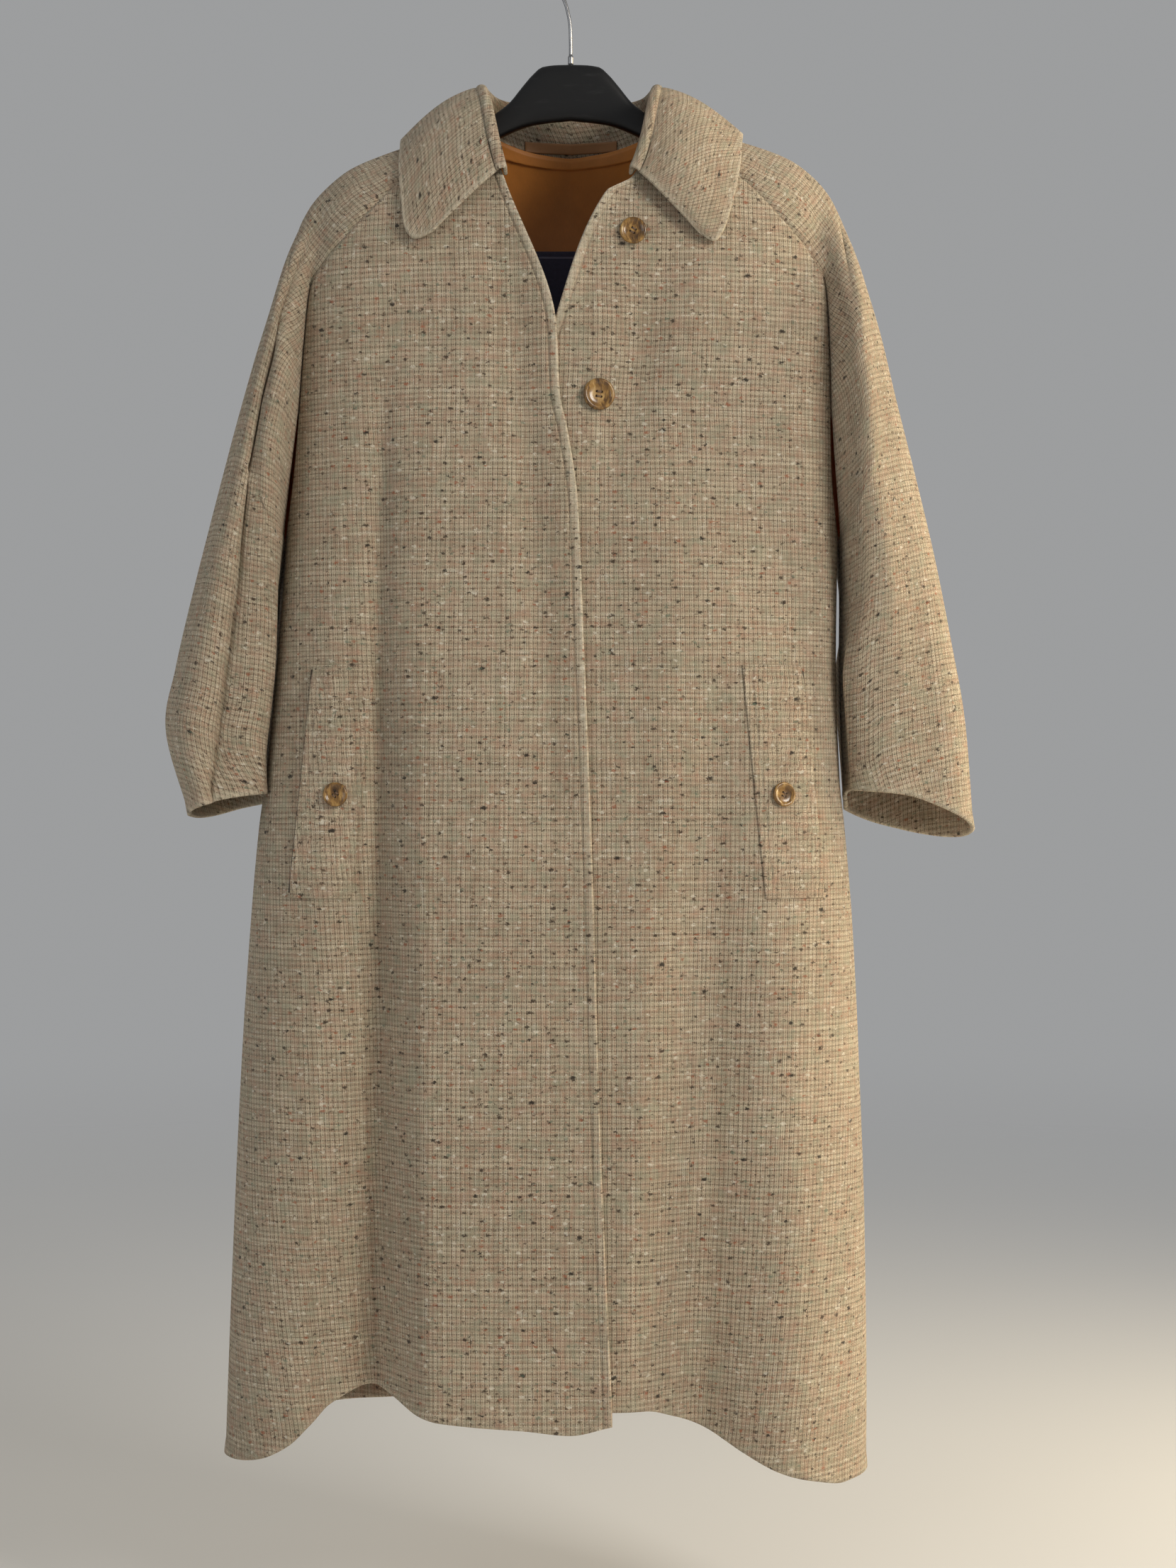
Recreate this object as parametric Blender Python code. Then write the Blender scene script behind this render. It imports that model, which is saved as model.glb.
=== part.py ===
"""Tweed raglan coat on a plastic hanger. Metres, +Z up, the coat's front faces -Y.

The origin is the inside top of the hook, where a rail bears. Left and right in
the names of sizes are the viewer's; left and right in piece names are the wearer's.
"""
import math

import bmesh
import bpy
import numpy as np
from mathutils import Vector
from mathutils.bvhtree import BVHTree

# Cloth
WALL = 0.0026
COLLAR_WALL = 0.0030
WELT_WALL = 0.0016
LINING_WALL = 0.0010
TRIM_WALL = 0.0012
SEAM_GAP = 0.0003
LAY_GAP = 0.0006
WELT_GAP = 0.0010
BUTTON_GAP = 0.0004
LOOK_FROM = 0.3

# Grid of each cloth piece
FRONT_COLUMNS = 20
BACK_COLUMNS = 27
SLEEVE_HALF = 11
COLLAR_HALF = 19
DENSE = 400

# Body: the width and depth of the hanging coat at each height
BODY_POWER = 2.6
SHOULDER_DROP = 0.110
BODY = {
    "z": (-1.270, -1.181, -1.061, -0.941, -0.820, -0.740, -0.700, -0.600, -0.500, -0.400, -0.290, -0.150),
    "left": (-0.290, -0.287, -0.282, -0.276, -0.268, -0.261, -0.2555, -0.246, -0.2385, -0.2345, -0.229,
             -0.226),
    "right": (0.247, 0.248, 0.2465, 0.242, 0.236, 0.2295, 0.2255, 0.2225, 0.224, 0.2255, 0.2245, 0.222),
    "front": (0.120, 0.118, 0.115, 0.111, 0.107, 0.104, 0.102, 0.098, 0.094, 0.089, 0.082, 0.074),
    "back": (0.116, 0.114, 0.111, 0.107, 0.103, 0.100, 0.098, 0.094, 0.090, 0.085, 0.078, 0.068),
}

# Shoulder ridge carried inwards over the neck
RIDGE_NECK_X = 0.083
RIDGE_NECK_Z = -0.1485
RIDGE_NECK_SLOPE = 0.35

# Large folds: a trough is positive and a roll negative
FOLDS_FRONT = (
    {"x_top": -0.154, "x_hem": -0.167, "start": -0.330, "w_top": 0.030, "w_hem": 0.064, "depth": 0.058},
    {"x_top": 0.118, "x_hem": 0.096, "start": -0.560, "w_top": 0.045, "w_hem": 0.070, "depth": 0.030},
    {"x_top": 0.185, "x_hem": 0.190, "start": -0.700, "w_top": 0.040, "w_hem": 0.050, "depth": -0.014},
)
FOLDS_BACK = (
    {"x_top": -0.120, "x_hem": -0.150, "start": -0.420, "w_top": 0.040, "w_hem": 0.068, "depth": 0.036},
    {"x_top": 0.010, "x_hem": -0.020, "start": -0.500, "w_top": 0.050, "w_hem": 0.070, "depth": -0.014},
    {"x_top": 0.095, "x_hem": 0.120, "start": -0.450, "w_top": 0.040, "w_hem": 0.066, "depth": 0.034},
)
FOLD_GROWTH = 1.25

# Hem heights, and the level rows between the underarm and the hem
HEM_START = -0.900
HEM_LEVEL = -1.235
ROWS_BELOW = (-0.545, -0.600, -0.655, -0.710, -0.770, -0.835, -0.900, -0.970, -1.040, -1.105, -1.170, -1.235)
HEM_LEFT_FRONT = {
    "x": (-0.290, -0.255, -0.230, -0.212, -0.197, -0.1655, -0.143, -0.118, -0.083, -0.036, 0.001, 0.034),
    "z": (-1.264, -1.256, -1.243, -1.226, -1.211, -1.198, -1.204, -1.214, -1.218, -1.221, -1.225, -1.218),
}
HEM_RIGHT_FRONT = {
    "x": (-0.060, 0.040, 0.061, 0.084, 0.113, 0.142, 0.170, 0.200, 0.225, 0.247),
    "z": (-1.206, -1.208, -1.209, -1.217, -1.229, -1.245, -1.259, -1.269, -1.276, -1.276),
}
HEM_BACK = {
    "x": (-0.290, -0.200, -0.100, 0.000, 0.100, 0.180, 0.247),
    "z": (-1.264, -1.246, -1.232, -1.228, -1.236, -1.256, -1.276),
}

# Front edges, from the neck seam down to the hem
EDGE_LEFT = {
    "z": (-1.220, -0.989, -0.759, -0.586, -0.475, -0.415, -0.388, -0.330, -0.210, -0.182, -0.155),
    "x": (0.033, 0.0236, 0.0169, 0.0102, 0.0054, -0.0032, -0.009, -0.012, -0.054, -0.063, -0.0725),
}
EDGE_RIGHT = {
    "z": (-1.220, -0.800, -0.550, -0.430, -0.330, -0.220, -0.209, -0.182, -0.155),
    "x": (-0.060, -0.061, -0.060, -0.044, -0.013, 0.0305, 0.050, 0.063, 0.0725),
}
LAP = 0.0021
LAP_SOFT = 0.050
LAP_LEFT_X = -0.064
LAP_RIGHT_X = 0.036

# Sleeves: the raglan seam and the outer line, row by row from the neck to the underarm
RAGLAN_LEFT = {
    "x": (-0.080, -0.110, -0.1465, -0.180, -0.203, -0.217, -0.2225, -0.2265, -0.2315, -0.2385),
    "z": (-0.155, -0.178, -0.2107, -0.2448, -0.270, -0.292, -0.340, -0.395, -0.450, -0.500),
}
RAGLAN_RIGHT = {
    "x": (0.080, 0.110, 0.1465, 0.178, 0.200, 0.2125, 0.2160, 0.2170, 0.2185, 0.224),
    "z": (-0.155, -0.176, -0.207, -0.240, -0.266, -0.290, -0.340, -0.395, -0.450, -0.500),
}
OUTER_LEFT = {
    "x": (-0.083, -0.122, -0.155, -0.184, -0.204, -0.219, -0.233, -0.2445, -0.262, -0.2805,
          -0.298, -0.316, -0.332, -0.3405, -0.3205),
    "z": (-0.1485, -0.1625, -0.1735, -0.1855, -0.2005, -0.2175, -0.246, -0.290, -0.345, -0.408,
          -0.470, -0.538, -0.606, -0.660, -0.731),
}
OUTER_RIGHT = {
    "x": (0.083, 0.122, 0.155, 0.184, 0.203, 0.2185, 0.232, 0.2445, 0.2585, 0.2735,
          0.289, 0.306, 0.3205, 0.332, 0.339),
    "z": (-0.1485, -0.158, -0.167, -0.178, -0.1915, -0.2095, -0.238, -0.280, -0.325, -0.385,
          -0.445, -0.515, -0.588, -0.655, -0.744),
}
INNER_Z = (-0.545, -0.595, -0.645, -0.685, -0.713)
UNDERARM_CLEAR = (0.0002, 0.0030, 0.0038)
INNER_CLEAR = 0.0065
SHOULDER_ROWS = 4
RIDGE_ROWS = 9
SLEEVE_ROW_EASE = 3
SPLAY_ROWS = 2
ARC_REACH = 0.75
BULGE_LEFT = (0.060, 0.068, 0.074, 0.078, 0.079, 0.077, 0.073, 0.069, 0.068, 0.070)
BULGE_RIGHT = (0.060, 0.068, 0.074, 0.077, 0.077, 0.073, 0.067, 0.060, 0.054, 0.050)
SEAM_SPLAY = 0.8
SLEEVE_FOLD_LEFT = {"around": 0.215, "width": 0.085, "depth": 0.011}
SLEEVE_FOLD_RIGHT = {"around": 0.300, "width": 0.140, "depth": 0.004}
CUFF_ROWS = 3
CUFF_TILT_LEFT = 0.004
CUFF_TILT_RIGHT = 0.014

# Collar: the neck seam, the fold and the outer edge, from the front end to the centre back
STAND_LIFT = 0.0017
FOLD_RADIUS = 0.0034
LEAF_LIFT = 0.0065
LEAF_BULGE = 0.0060
LEAF_SKEW = 0.8
STAND_STEPS = 3
FOLD_STEPS = 3
LEAF_STEPS = 5
COLLAR_LEFT = {
    "seam_x": (-0.0527, -0.0549, -0.0574, -0.0611, -0.0700, -0.0795, -0.0830, -0.0725, -0.0400, 0.0),
    "seam_z": (-0.2060, -0.1990, -0.1910, -0.1800, -0.1560, -0.1503, -0.1485, -0.1540, -0.1635, -0.1680),
    "fold_x": (-0.0560, -0.0585, -0.0610, -0.0640, -0.0700, -0.0738, -0.0745, -0.0630, -0.0360, 0.0),
    "fold_y": (-0.0800, -0.0790, -0.0765, -0.0710, -0.0500, -0.0250, 0.0, 0.0400, 0.0585, 0.0640),
    "fold_z": (-0.2020, -0.1925, -0.1825, -0.1685, -0.1385, -0.1245, -0.1190, -0.1190, -0.1200, -0.1205),
    "edge_x": (-0.1120, -0.1255, -0.1335, -0.1370, -0.1405, -0.1415, -0.1390, -0.1120, -0.0570, 0.0),
    "edge_z": (-0.2545, -0.2590, -0.2510, -0.2370, -0.2030, -0.1780, -0.1590, -0.1720, -0.1900, -0.1960),
}
COLLAR_RIGHT = {
    "seam_x": (0.0495, 0.0540, 0.0570, 0.0611, 0.0700, 0.0795, 0.0830, 0.0725, 0.0400, 0.0),
    "seam_z": (-0.2060, -0.1990, -0.1910, -0.1800, -0.1560, -0.1503, -0.1485, -0.1540, -0.1635, -0.1680),
    "fold_x": (0.0530, 0.0570, 0.0600, 0.0635, 0.0690, 0.0720, 0.0725, 0.0620, 0.0360, 0.0),
    "fold_y": (-0.0800, -0.0790, -0.0765, -0.0710, -0.0500, -0.0250, 0.0, 0.0400, 0.0585, 0.0640),
    "fold_z": (-0.2020, -0.1925, -0.1825, -0.1685, -0.1385, -0.1245, -0.1190, -0.1190, -0.1200, -0.1205),
    "edge_x": (0.1060, 0.1170, 0.1240, 0.1300, 0.1385, 0.1420, 0.1420, 0.1140, 0.0570, 0.0),
    "edge_z": (-0.2560, -0.2610, -0.2530, -0.2370, -0.2020, -0.1740, -0.1550, -0.1710, -0.1900, -0.1960),
}
SIDE_ROW = 6

# Back neck
NECK_DIP = 0.013

# Pocket welts: centre of each, its slant and its flat size
WELT_WIDE = 0.048
WELT_LONG = 0.190
WELT_SLANT = 0.100
WELT_LEFT_X = -0.1945
WELT_RIGHT_X = 0.1735
WELT_Z = -0.7025
WELT_COLUMNS = 9
WELT_ROWS = 9

# Buttons: place on the front, diameter
BUTTON_TOP = {"x": 0.0515, "z": -0.253, "wide": 0.022}
BUTTON_FRONT = {"x": 0.0235, "z": -0.388, "wide": 0.026}
BUTTON_POCKET_LEFT = {"x": -0.1913, "z": -0.713, "wide": 0.020}
BUTTON_POCKET_RIGHT = {"x": 0.1735, "z": -0.713, "wide": 0.020}
BUTTON_THICK = 0.19
BUTTON_SIDES = 20
BUTTON_PROFILE = {
    "radius": (0.0, 0.72, 0.94, 1.0, 0.93, 0.80, 0.66, 0.0),
    "height": (0.0, 0.0, 0.45, 1.10, 1.62, 1.62, 1.08, 1.0),
}

# Neck trimmings inside the back
LINING_ROWS = 9
LINING_MARGIN = 2
LABEL_WIDE = 0.080
LABEL_TOP = -0.239
LABEL_LONG = 0.060
LABEL_COLUMNS = 7
LABEL_ROWS = 5
LOOP_WIDE = 0.080
LOOP_TOP = -0.1495
LOOP_TALL = 0.009
LOOP_COLUMNS = 11
LOOP_ROWS = 3

# Hanger
HANGER_UNDER = 0.0025
HANGER_END_X = 0.199
HANGER_ARM_TALL = 0.023
HANGER_END_ROUND = 0.006
HANGER_THICK = 0.014
HANGER_BEVEL = 0.0060
HANGER_BEVEL_ANGLE = math.radians(60)
HUMP_TOP = {
    "x": (0.0, 0.024, 0.032, 0.041, 0.052, 0.0665, 0.083),
    "z": (-0.0960, -0.0980, -0.1045, -0.1150, -0.1285, -0.1395, -0.1505),
}
HUMP_UNDER = {"x": (0.0, 0.030, 0.064), "z": (-0.1430, -0.1465, -0.1600)}
ARM_STEPS = 9

# Hook: a round wire bent over the rail
WIRE = 0.0030
HOOK_RADIUS = 0.019
HOOK_STEM = {"x": (0.0, 0.0, -0.001, -0.006), "z": (-0.0954, -0.0755, -0.058, -0.040)}
HOOK_TIP_TURN = math.radians(205)
HOOK_TURN_START = math.radians(215)
HOOK_STEPS = 18
HOOK_SIDES = 10
HOOK_RINGS = 31

# Colours, linear
TWEED = (0.30, 0.23, 0.155, 1.0)
LINING = (0.20, 0.075, 0.022, 1.0)
NAVY = (0.012, 0.014, 0.035, 1.0)
BROWN = (0.080, 0.036, 0.016, 1.0)
HORN = (0.115, 0.055, 0.020, 1.0)
BLACK = (0.010, 0.010, 0.011, 1.0)
STEEL = (0.60, 0.60, 0.60, 1.0)


def smooth(known_x, known_y, x):
    """Monotone cubic through the known points, held level beyond them."""
    xs = np.asarray(known_x, float)
    ys = np.asarray(known_y, float)
    step = np.diff(xs)
    rise = np.diff(ys) / step
    slope = np.zeros_like(ys)
    both = rise[:-1] * rise[1:]
    total = rise[:-1] + rise[1:]
    steady = both > 0.0
    slope[1:-1][steady] = 2.0 * both[steady] / total[steady]
    slope[0] = rise[0]
    slope[-1] = rise[-1]
    x = np.clip(np.asarray(x, float), xs[0], xs[-1])
    i = np.clip(np.searchsorted(xs, x) - 1, 0, len(xs) - 2)
    t = (x - xs[i]) / step[i]
    near = (1.0 + 2.0 * t) * (1.0 - t) ** 2 * ys[i] + t * (1.0 - t) ** 2 * step[i] * slope[i]
    far = t * t * (3.0 - 2.0 * t) * ys[i + 1] + t * t * (t - 1.0) * step[i] * slope[i + 1]
    return near + far


def through(points, places):
    """Rounded curve through rows of numbers, read at places counted in rows."""
    points = np.asarray(points, float)
    last = len(points) - 1
    out = []
    for place in places:
        i = min(int(place), last - 1)
        t = place - i
        p1, p2 = points[i], points[i + 1]
        p0 = points[i - 1] if i > 0 else 2.0 * p1 - p2
        p3 = points[i + 2] if i + 2 <= last else 2.0 * p2 - p1
        a = 2.0 * p1
        b = (p2 - p0) * t
        c = (2.0 * p0 - 5.0 * p1 + 4.0 * p2 - p3) * t * t
        d = (3.0 * p1 - p0 - 3.0 * p2 + p3) * t ** 3
        out.append(0.5 * (a + b + c + d))
    return np.array(out)


def ease(t):
    """Soft step from 0 to 1."""
    t = np.clip(t, 0.0, 1.0)
    return t * t * (3.0 - 2.0 * t)


def unit(vectors):
    return vectors / np.linalg.norm(vectors, axis=-1, keepdims=True)


def evenly(points, count):
    """The same line through count points spaced evenly along it."""
    lengths = np.linalg.norm(np.diff(points, axis=0), axis=1)
    along = np.concatenate(([0.0], np.cumsum(lengths)))
    wanted = np.linspace(0.0, along[-1], count)
    return np.column_stack([np.interp(wanted, along, points[:, k]) for k in range(3)])


def body(column, z):
    return smooth(BODY["z"], BODY[column], z)


def ridge_z(x):
    """Height of the shoulder ridge over x."""
    x = np.asarray(x, float)
    left = smooth(np.negative(OUTER_LEFT["x"][:RIDGE_ROWS]), OUTER_LEFT["z"][:RIDGE_ROWS], -x)
    right = smooth(OUTER_RIGHT["x"][:RIDGE_ROWS], OUTER_RIGHT["z"][:RIDGE_ROWS], x)
    neck = RIDGE_NECK_Z + RIDGE_NECK_SLOPE * (RIDGE_NECK_X - np.abs(x))
    shoulder = np.where(x < 0.0, left, right)
    return np.where(np.abs(x) < RIDGE_NECK_X, neck, shoulder)


def fold_depth(folds, x, z):
    total = np.zeros_like(np.asarray(x, float))
    for fold in folds:
        part = np.clip((fold["start"] - z) / (fold["start"] - HEM_LEVEL), 0.0, 1.2)
        middle = fold["x_top"] + (fold["x_hem"] - fold["x_top"]) * part
        wide = fold["w_top"] + (fold["w_hem"] - fold["w_top"]) * part
        reach = np.clip((x - middle) / wide, -1.0, 1.0)
        total = total + fold["depth"] * part ** FOLD_GROWTH * 0.5 * (1.0 + np.cos(math.pi * reach))
    return total


def side_round(x, z):
    """1 over the middle of the body and 0 at its side seams."""
    left = body("left", z)
    right = body("right", z)
    across = np.clip((2.0 * x - left - right) / (right - left), -1.0, 1.0)
    return (1.0 - np.abs(across) ** BODY_POWER) ** (1.0 / BODY_POWER)


def shoulder_round(x, z):
    """0 on the shoulder ridge, growing to 1 a hand's width below it."""
    part = np.clip((ridge_z(x) - z) / SHOULDER_DROP, 0.0, 1.0)
    return np.sqrt(1.0 - (1.0 - part) ** 2)


def front_y(x, z):
    x = np.asarray(x, float)
    side = side_round(x, z)
    return -side * (body("front", z) * shoulder_round(x, z) - fold_depth(FOLDS_FRONT, x, z))


def back_y(x, z):
    x = np.asarray(x, float)
    side = side_round(x, z)
    return side * (body("back", z) * shoulder_round(x, z) - fold_depth(FOLDS_BACK, x, z))


def lap(side, x):
    """The left front's edge lies over the right one's."""
    if side == "left":
        return -LAP * ease((x - LAP_LEFT_X + LAP_SOFT) / LAP_SOFT)
    return LAP * ease((LAP_RIGHT_X + LAP_SOFT - x) / LAP_SOFT)


def hem_reach(z_row, hem_z):
    """Height of a level row once the hem below it is drawn to its own height."""
    if z_row >= HEM_START:
        return np.full_like(hem_z, z_row)
    part = (z_row - HEM_START) / (HEM_LEVEL - HEM_START)
    return HEM_START + part * (hem_z - HEM_START)


def front_grid(side):
    """Rows of the front from the seam to the front edge, and from the neck to the hem."""
    raglan = RAGLAN_LEFT if side == "left" else RAGLAN_RIGHT
    edge = EDGE_LEFT if side == "left" else EDGE_RIGHT
    hem = HEM_LEFT_FRONT if side == "left" else HEM_RIGHT_FRONT
    rows = []
    seam_rows = list(zip(raglan["x"], raglan["z"])) + [(None, z) for z in ROWS_BELOW]
    for seam_x, z_row in seam_rows:
        edge_x = float(smooth(edge["z"], edge["x"], z_row))
        start = float(body(side, z_row)) if seam_x is None else seam_x
        x = start + (edge_x - start) * np.linspace(0.0, 1.0, DENSE) ** 3
        z = hem_reach(z_row, smooth(hem["x"], hem["z"], x))
        y = front_y(x, z_row) + lap(side, x)
        rows.append(evenly(np.column_stack((x, y, z)), FRONT_COLUMNS))
    return np.array(rows)


def back_grid():
    """Rows of the back from the viewer's left seam to the right one."""
    rows = []
    part = np.linspace(-1.0, 1.0, DENSE)
    spread = 0.5 + 0.5 * np.sign(part) * (1.0 - (1.0 - np.abs(part)) ** 3)
    count = len(RAGLAN_LEFT["z"])
    for i in range(count):
        x = RAGLAN_LEFT["x"][i] + (RAGLAN_RIGHT["x"][i] - RAGLAN_LEFT["x"][i]) * spread
        z = RAGLAN_LEFT["z"][i] + (RAGLAN_RIGHT["z"][i] - RAGLAN_LEFT["z"][i]) * spread
        dip = NECK_DIP * (1.0 - i / (count - 1)) ** 2
        z = z - dip * (1.0 - (2.0 * spread - 1.0) ** 2)
        rows.append(evenly(np.column_stack((x, back_y(x, z), z)), BACK_COLUMNS))
    for z_row in ROWS_BELOW:
        left = float(body("left", z_row))
        right = float(body("right", z_row))
        x = left + (right - left) * spread
        z = hem_reach(z_row, smooth(HEM_BACK["x"], HEM_BACK["z"], x))
        rows.append(evenly(np.column_stack((x, back_y(x, z_row), z)), BACK_COLUMNS))
    return np.array(rows)


def arc(start, start_handle, end_handle, end, t):
    t = t[:, None]
    first = start * (1.0 - t) ** 3 + 3.0 * start_handle * t * (1.0 - t) ** 2
    return first + 3.0 * end_handle * t * t * (1.0 - t) + end * t ** 3


def sleeve_half(side, row, face):
    """Half a sleeve row, from the raglan or underarm seam to the outer line."""
    raglan = RAGLAN_LEFT if side == "left" else RAGLAN_RIGHT
    outer = OUTER_LEFT if side == "left" else OUTER_RIGHT
    bulges = BULGE_LEFT if side == "left" else BULGE_RIGHT
    out = -1.0 if side == "left" else 1.0
    away = -1.0 if face == "front" else 1.0
    depth = front_y if face == "front" else back_y
    top = np.array((outer["x"][row], 0.0, outer["z"][row]))
    count = len(raglan["x"])
    if row < count:
        x, z = raglan["x"][row], raglan["z"][row]
        near = row - count + len(UNDERARM_CLEAR)
        clear = UNDERARM_CLEAR[near] if near >= 0 else 0.0
        seam = np.array((x + out * clear, float(depth(x, z)), z))
    else:
        z = INNER_Z[row - count]
        seam = np.array((float(body(side, z)) + out * INNER_CLEAR, 0.0, z))
    t = np.linspace(0.0, 1.0, DENSE)
    down = ((1.0 - t) ** 2)[:, None]
    saddle = top + (seam - top) * down
    saddle[:, 1] = depth(saddle[:, 0], saddle[:, 2])
    if row <= SHOULDER_ROWS:
        return evenly(saddle, SLEEVE_HALF)
    bulge = bulges[row - SHOULDER_ROWS - 1] / ARC_REACH
    open_part = float(np.clip((count - 1 - row) / SPLAY_ROWS, 0.0, 1.0))
    splay = SEAM_SPLAY * open_part * (top[0] - seam[0])
    seam_handle = seam + np.array((splay, away * (bulge - abs(seam[1])), 0.0))
    ring = arc(seam, seam_handle, top + np.array((0.0, away * bulge, 0.0)), top, t)
    part = float(ease((row - SHOULDER_ROWS) / SLEEVE_ROW_EASE))
    return evenly(evenly(saddle, DENSE) * (1.0 - part) + evenly(ring, DENSE) * part, SLEEVE_HALF)


def sleeve_grid(side):
    """Rows of a sleeve from the front seam over the outer line to the back seam."""
    outer = OUTER_LEFT if side == "left" else OUTER_RIGHT
    fold = SLEEVE_FOLD_LEFT if side == "left" else SLEEVE_FOLD_RIGHT
    tilt = CUFF_TILT_LEFT if side == "left" else CUFF_TILT_RIGHT
    count = len(outer["x"])
    rows = []
    for row in range(count):
        front = sleeve_half(side, row, "front")
        back = sleeve_half(side, row, "back")
        rows.append(np.vstack((front, back[-2::-1])))
    grid = np.array(rows)
    around = np.linspace(0.0, 1.0, grid.shape[1])
    reach = np.clip((around - fold["around"]) / fold["width"], -1.0, 1.0)
    trough = fold["depth"] * 0.5 * (1.0 + np.cos(math.pi * reach))
    for row in range(SHOULDER_ROWS + 1, count):
        grid[row, :, 1] += trough * ease((row - SHOULDER_ROWS) / SLEEVE_ROW_EASE)
    turn = np.sin(2.0 * math.pi * around)
    for row in range(count - CUFF_ROWS, count):
        grid[row, :, 2] += tilt * turn * ease((row - count + CUFF_ROWS + 1) / CUFF_ROWS)
    return grid


def collar_column(seam, fold, edge, along):
    """One line across the collar: up the stand, over the fold and down the leaf."""
    up = fold - seam
    up = unit(up - along * np.dot(up, along))
    outward = np.cross(along, up)
    if np.dot(outward, edge - fold) < 0.0:
        outward = -outward
    inner = fold - FOLD_RADIUS * outward
    outer = fold + FOLD_RADIUS * outward
    points = [seam + (inner - seam) * k / STAND_STEPS for k in range(STAND_STEPS + 1)]
    for k in range(1, FOLD_STEPS + 1):
        turn = math.pi * k / (FOLD_STEPS + 1)
        points.append(fold - FOLD_RADIUS * math.cos(turn) * outward + FOLD_RADIUS * math.sin(turn) * up)
    across = unit(np.cross(along, edge - outer))
    if np.dot(across, up) < 0.0:
        across = -across
    for k in range(LEAF_STEPS + 1):
        part = k / LEAF_STEPS
        lift = LEAF_BULGE * math.sin(math.pi * part ** LEAF_SKEW)
        points.append(outer + (edge - outer) * part + across * lift)
    return np.array(points)


def collar_half(table):
    """Columns of half the collar from its front end to the centre back."""
    rows = []
    for k in range(len(table["seam_x"])):
        seat = front_y if k < SIDE_ROW else back_y
        lift = -LEAF_LIFT if k < SIDE_ROW else LEAF_LIFT
        seam_x, seam_z = table["seam_x"][k], table["seam_z"][k]
        edge_x, edge_z = table["edge_x"][k], table["edge_z"][k]
        seam_y = float(seat(seam_x, seam_z))
        edge_y = float(seat(edge_x, edge_z)) + lift
        if k == SIDE_ROW:
            seam_y = 0.0
            edge_y = 0.0
        fold = (table["fold_x"][k], table["fold_y"][k], table["fold_z"][k])
        rows.append((seam_x, seam_y, seam_z + STAND_LIFT) + fold + (edge_x, edge_y, edge_z))
    places = np.linspace(0.0, len(rows) - 1, COLLAR_HALF)
    lines = through(rows, places)
    along = unit(np.gradient(lines[:, 3:6], axis=0))
    return [collar_column(line[0:3], line[3:6], line[6:9], way) for line, way in zip(lines, along)]


def collar_grid():
    left = collar_half(COLLAR_LEFT)
    right = collar_half(COLLAR_RIGHT)
    return np.array(left + right[-2::-1])


def directions(grid, axis):
    """Direction of the grid's lines at each point: midway between the steps on either side."""
    steps = unit(np.diff(grid, axis=axis))
    first = np.take(steps, [0], axis=axis)
    last = np.take(steps, [-1], axis=axis)
    before = np.concatenate((first, steps), axis=axis)
    after = np.concatenate((steps, last), axis=axis)
    return unit(before + after)


def grid_normals(grid, flip):
    """Unit normals of a grid of points."""
    normals = np.cross(directions(grid, 1), directions(grid, 0))
    normals /= np.linalg.norm(normals, axis=2, keepdims=True)
    return -normals if flip else normals


def share(first, second):
    """One direction for two edges that are sewn together."""
    both = first + second
    both /= np.linalg.norm(both, axis=-1, keepdims=True)
    first[...] = both
    second[...] = both


def draw_back(grid, column, gap):
    """Shorten each row by half a seam gap at one end."""
    inside = grid[:, 1] if column == 0 else grid[:, -2]
    way = inside - grid[:, column]
    grid[:, column] += way / np.linalg.norm(way, axis=1, keepdims=True) * gap * 0.5


def material(name, colour, rough, metallic=0.0):
    made = bpy.data.materials.new(name)
    made.use_nodes = True
    shader = made.node_tree.nodes["Principled BSDF"]
    shader.inputs["Base Color"].default_value = colour
    shader.inputs["Roughness"].default_value = rough
    shader.inputs["Metallic"].default_value = metallic
    made.diffuse_color = colour
    return made


def add_object(name, bm, made):
    bmesh.ops.recalc_face_normals(bm, faces=bm.faces)
    for face in bm.faces:
        face.smooth = True
    mesh = bpy.data.meshes.new(name)
    bm.to_mesh(mesh)
    bm.free()
    mesh.materials.append(made)
    piece = bpy.data.objects.new(name, mesh)
    bpy.context.collection.objects.link(piece)
    return piece


def sheet(name, grid, normals, wall, made):
    """A closed cloth wall of even thickness about a grid of points."""
    bm = bmesh.new()
    rows, columns = grid.shape[:2]
    layers = []
    for side in (0.5, -0.5):
        moved = grid + normals * (side * wall)
        layers.append([[bm.verts.new(moved[r, c]) for c in range(columns)] for r in range(rows)])
    outer, inner = layers
    for r in range(rows - 1):
        for c in range(columns - 1):
            bm.faces.new((outer[r][c], outer[r + 1][c], outer[r + 1][c + 1], outer[r][c + 1]))
            bm.faces.new((inner[r][c], inner[r][c + 1], inner[r + 1][c + 1], inner[r + 1][c]))
    rim = [(0, c) for c in range(columns)] + [(r, columns - 1) for r in range(1, rows)]
    rim += [(rows - 1, c) for c in range(columns - 2, -1, -1)] + [(r, 0) for r in range(rows - 2, 0, -1)]
    for k, (r, c) in enumerate(rim):
        r2, c2 = rim[(k + 1) % len(rim)]
        bm.faces.new((outer[r][c], outer[r2][c2], inner[r2][c2], inner[r][c]))
    bmesh.ops.triangulate(bm, faces=bm.faces, quad_method="SHORT_EDGE")
    return add_object(name, bm, made)


def surface_of(piece):
    mesh = piece.data
    return BVHTree.FromPolygons([v.co for v in mesh.vertices], [f.vertices for f in mesh.polygons])


def laid(surface, spots):
    """Points of a panel met by looking along +Y at a grid of x and z places."""
    rows = []
    for row in spots:
        starts = [Vector((x, -LOOK_FROM, z)) for x, z in row]
        rows.append([surface.ray_cast(start, Vector((0.0, 1.0, 0.0)))[0] for start in starts])
    return np.array(rows, float)


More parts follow.
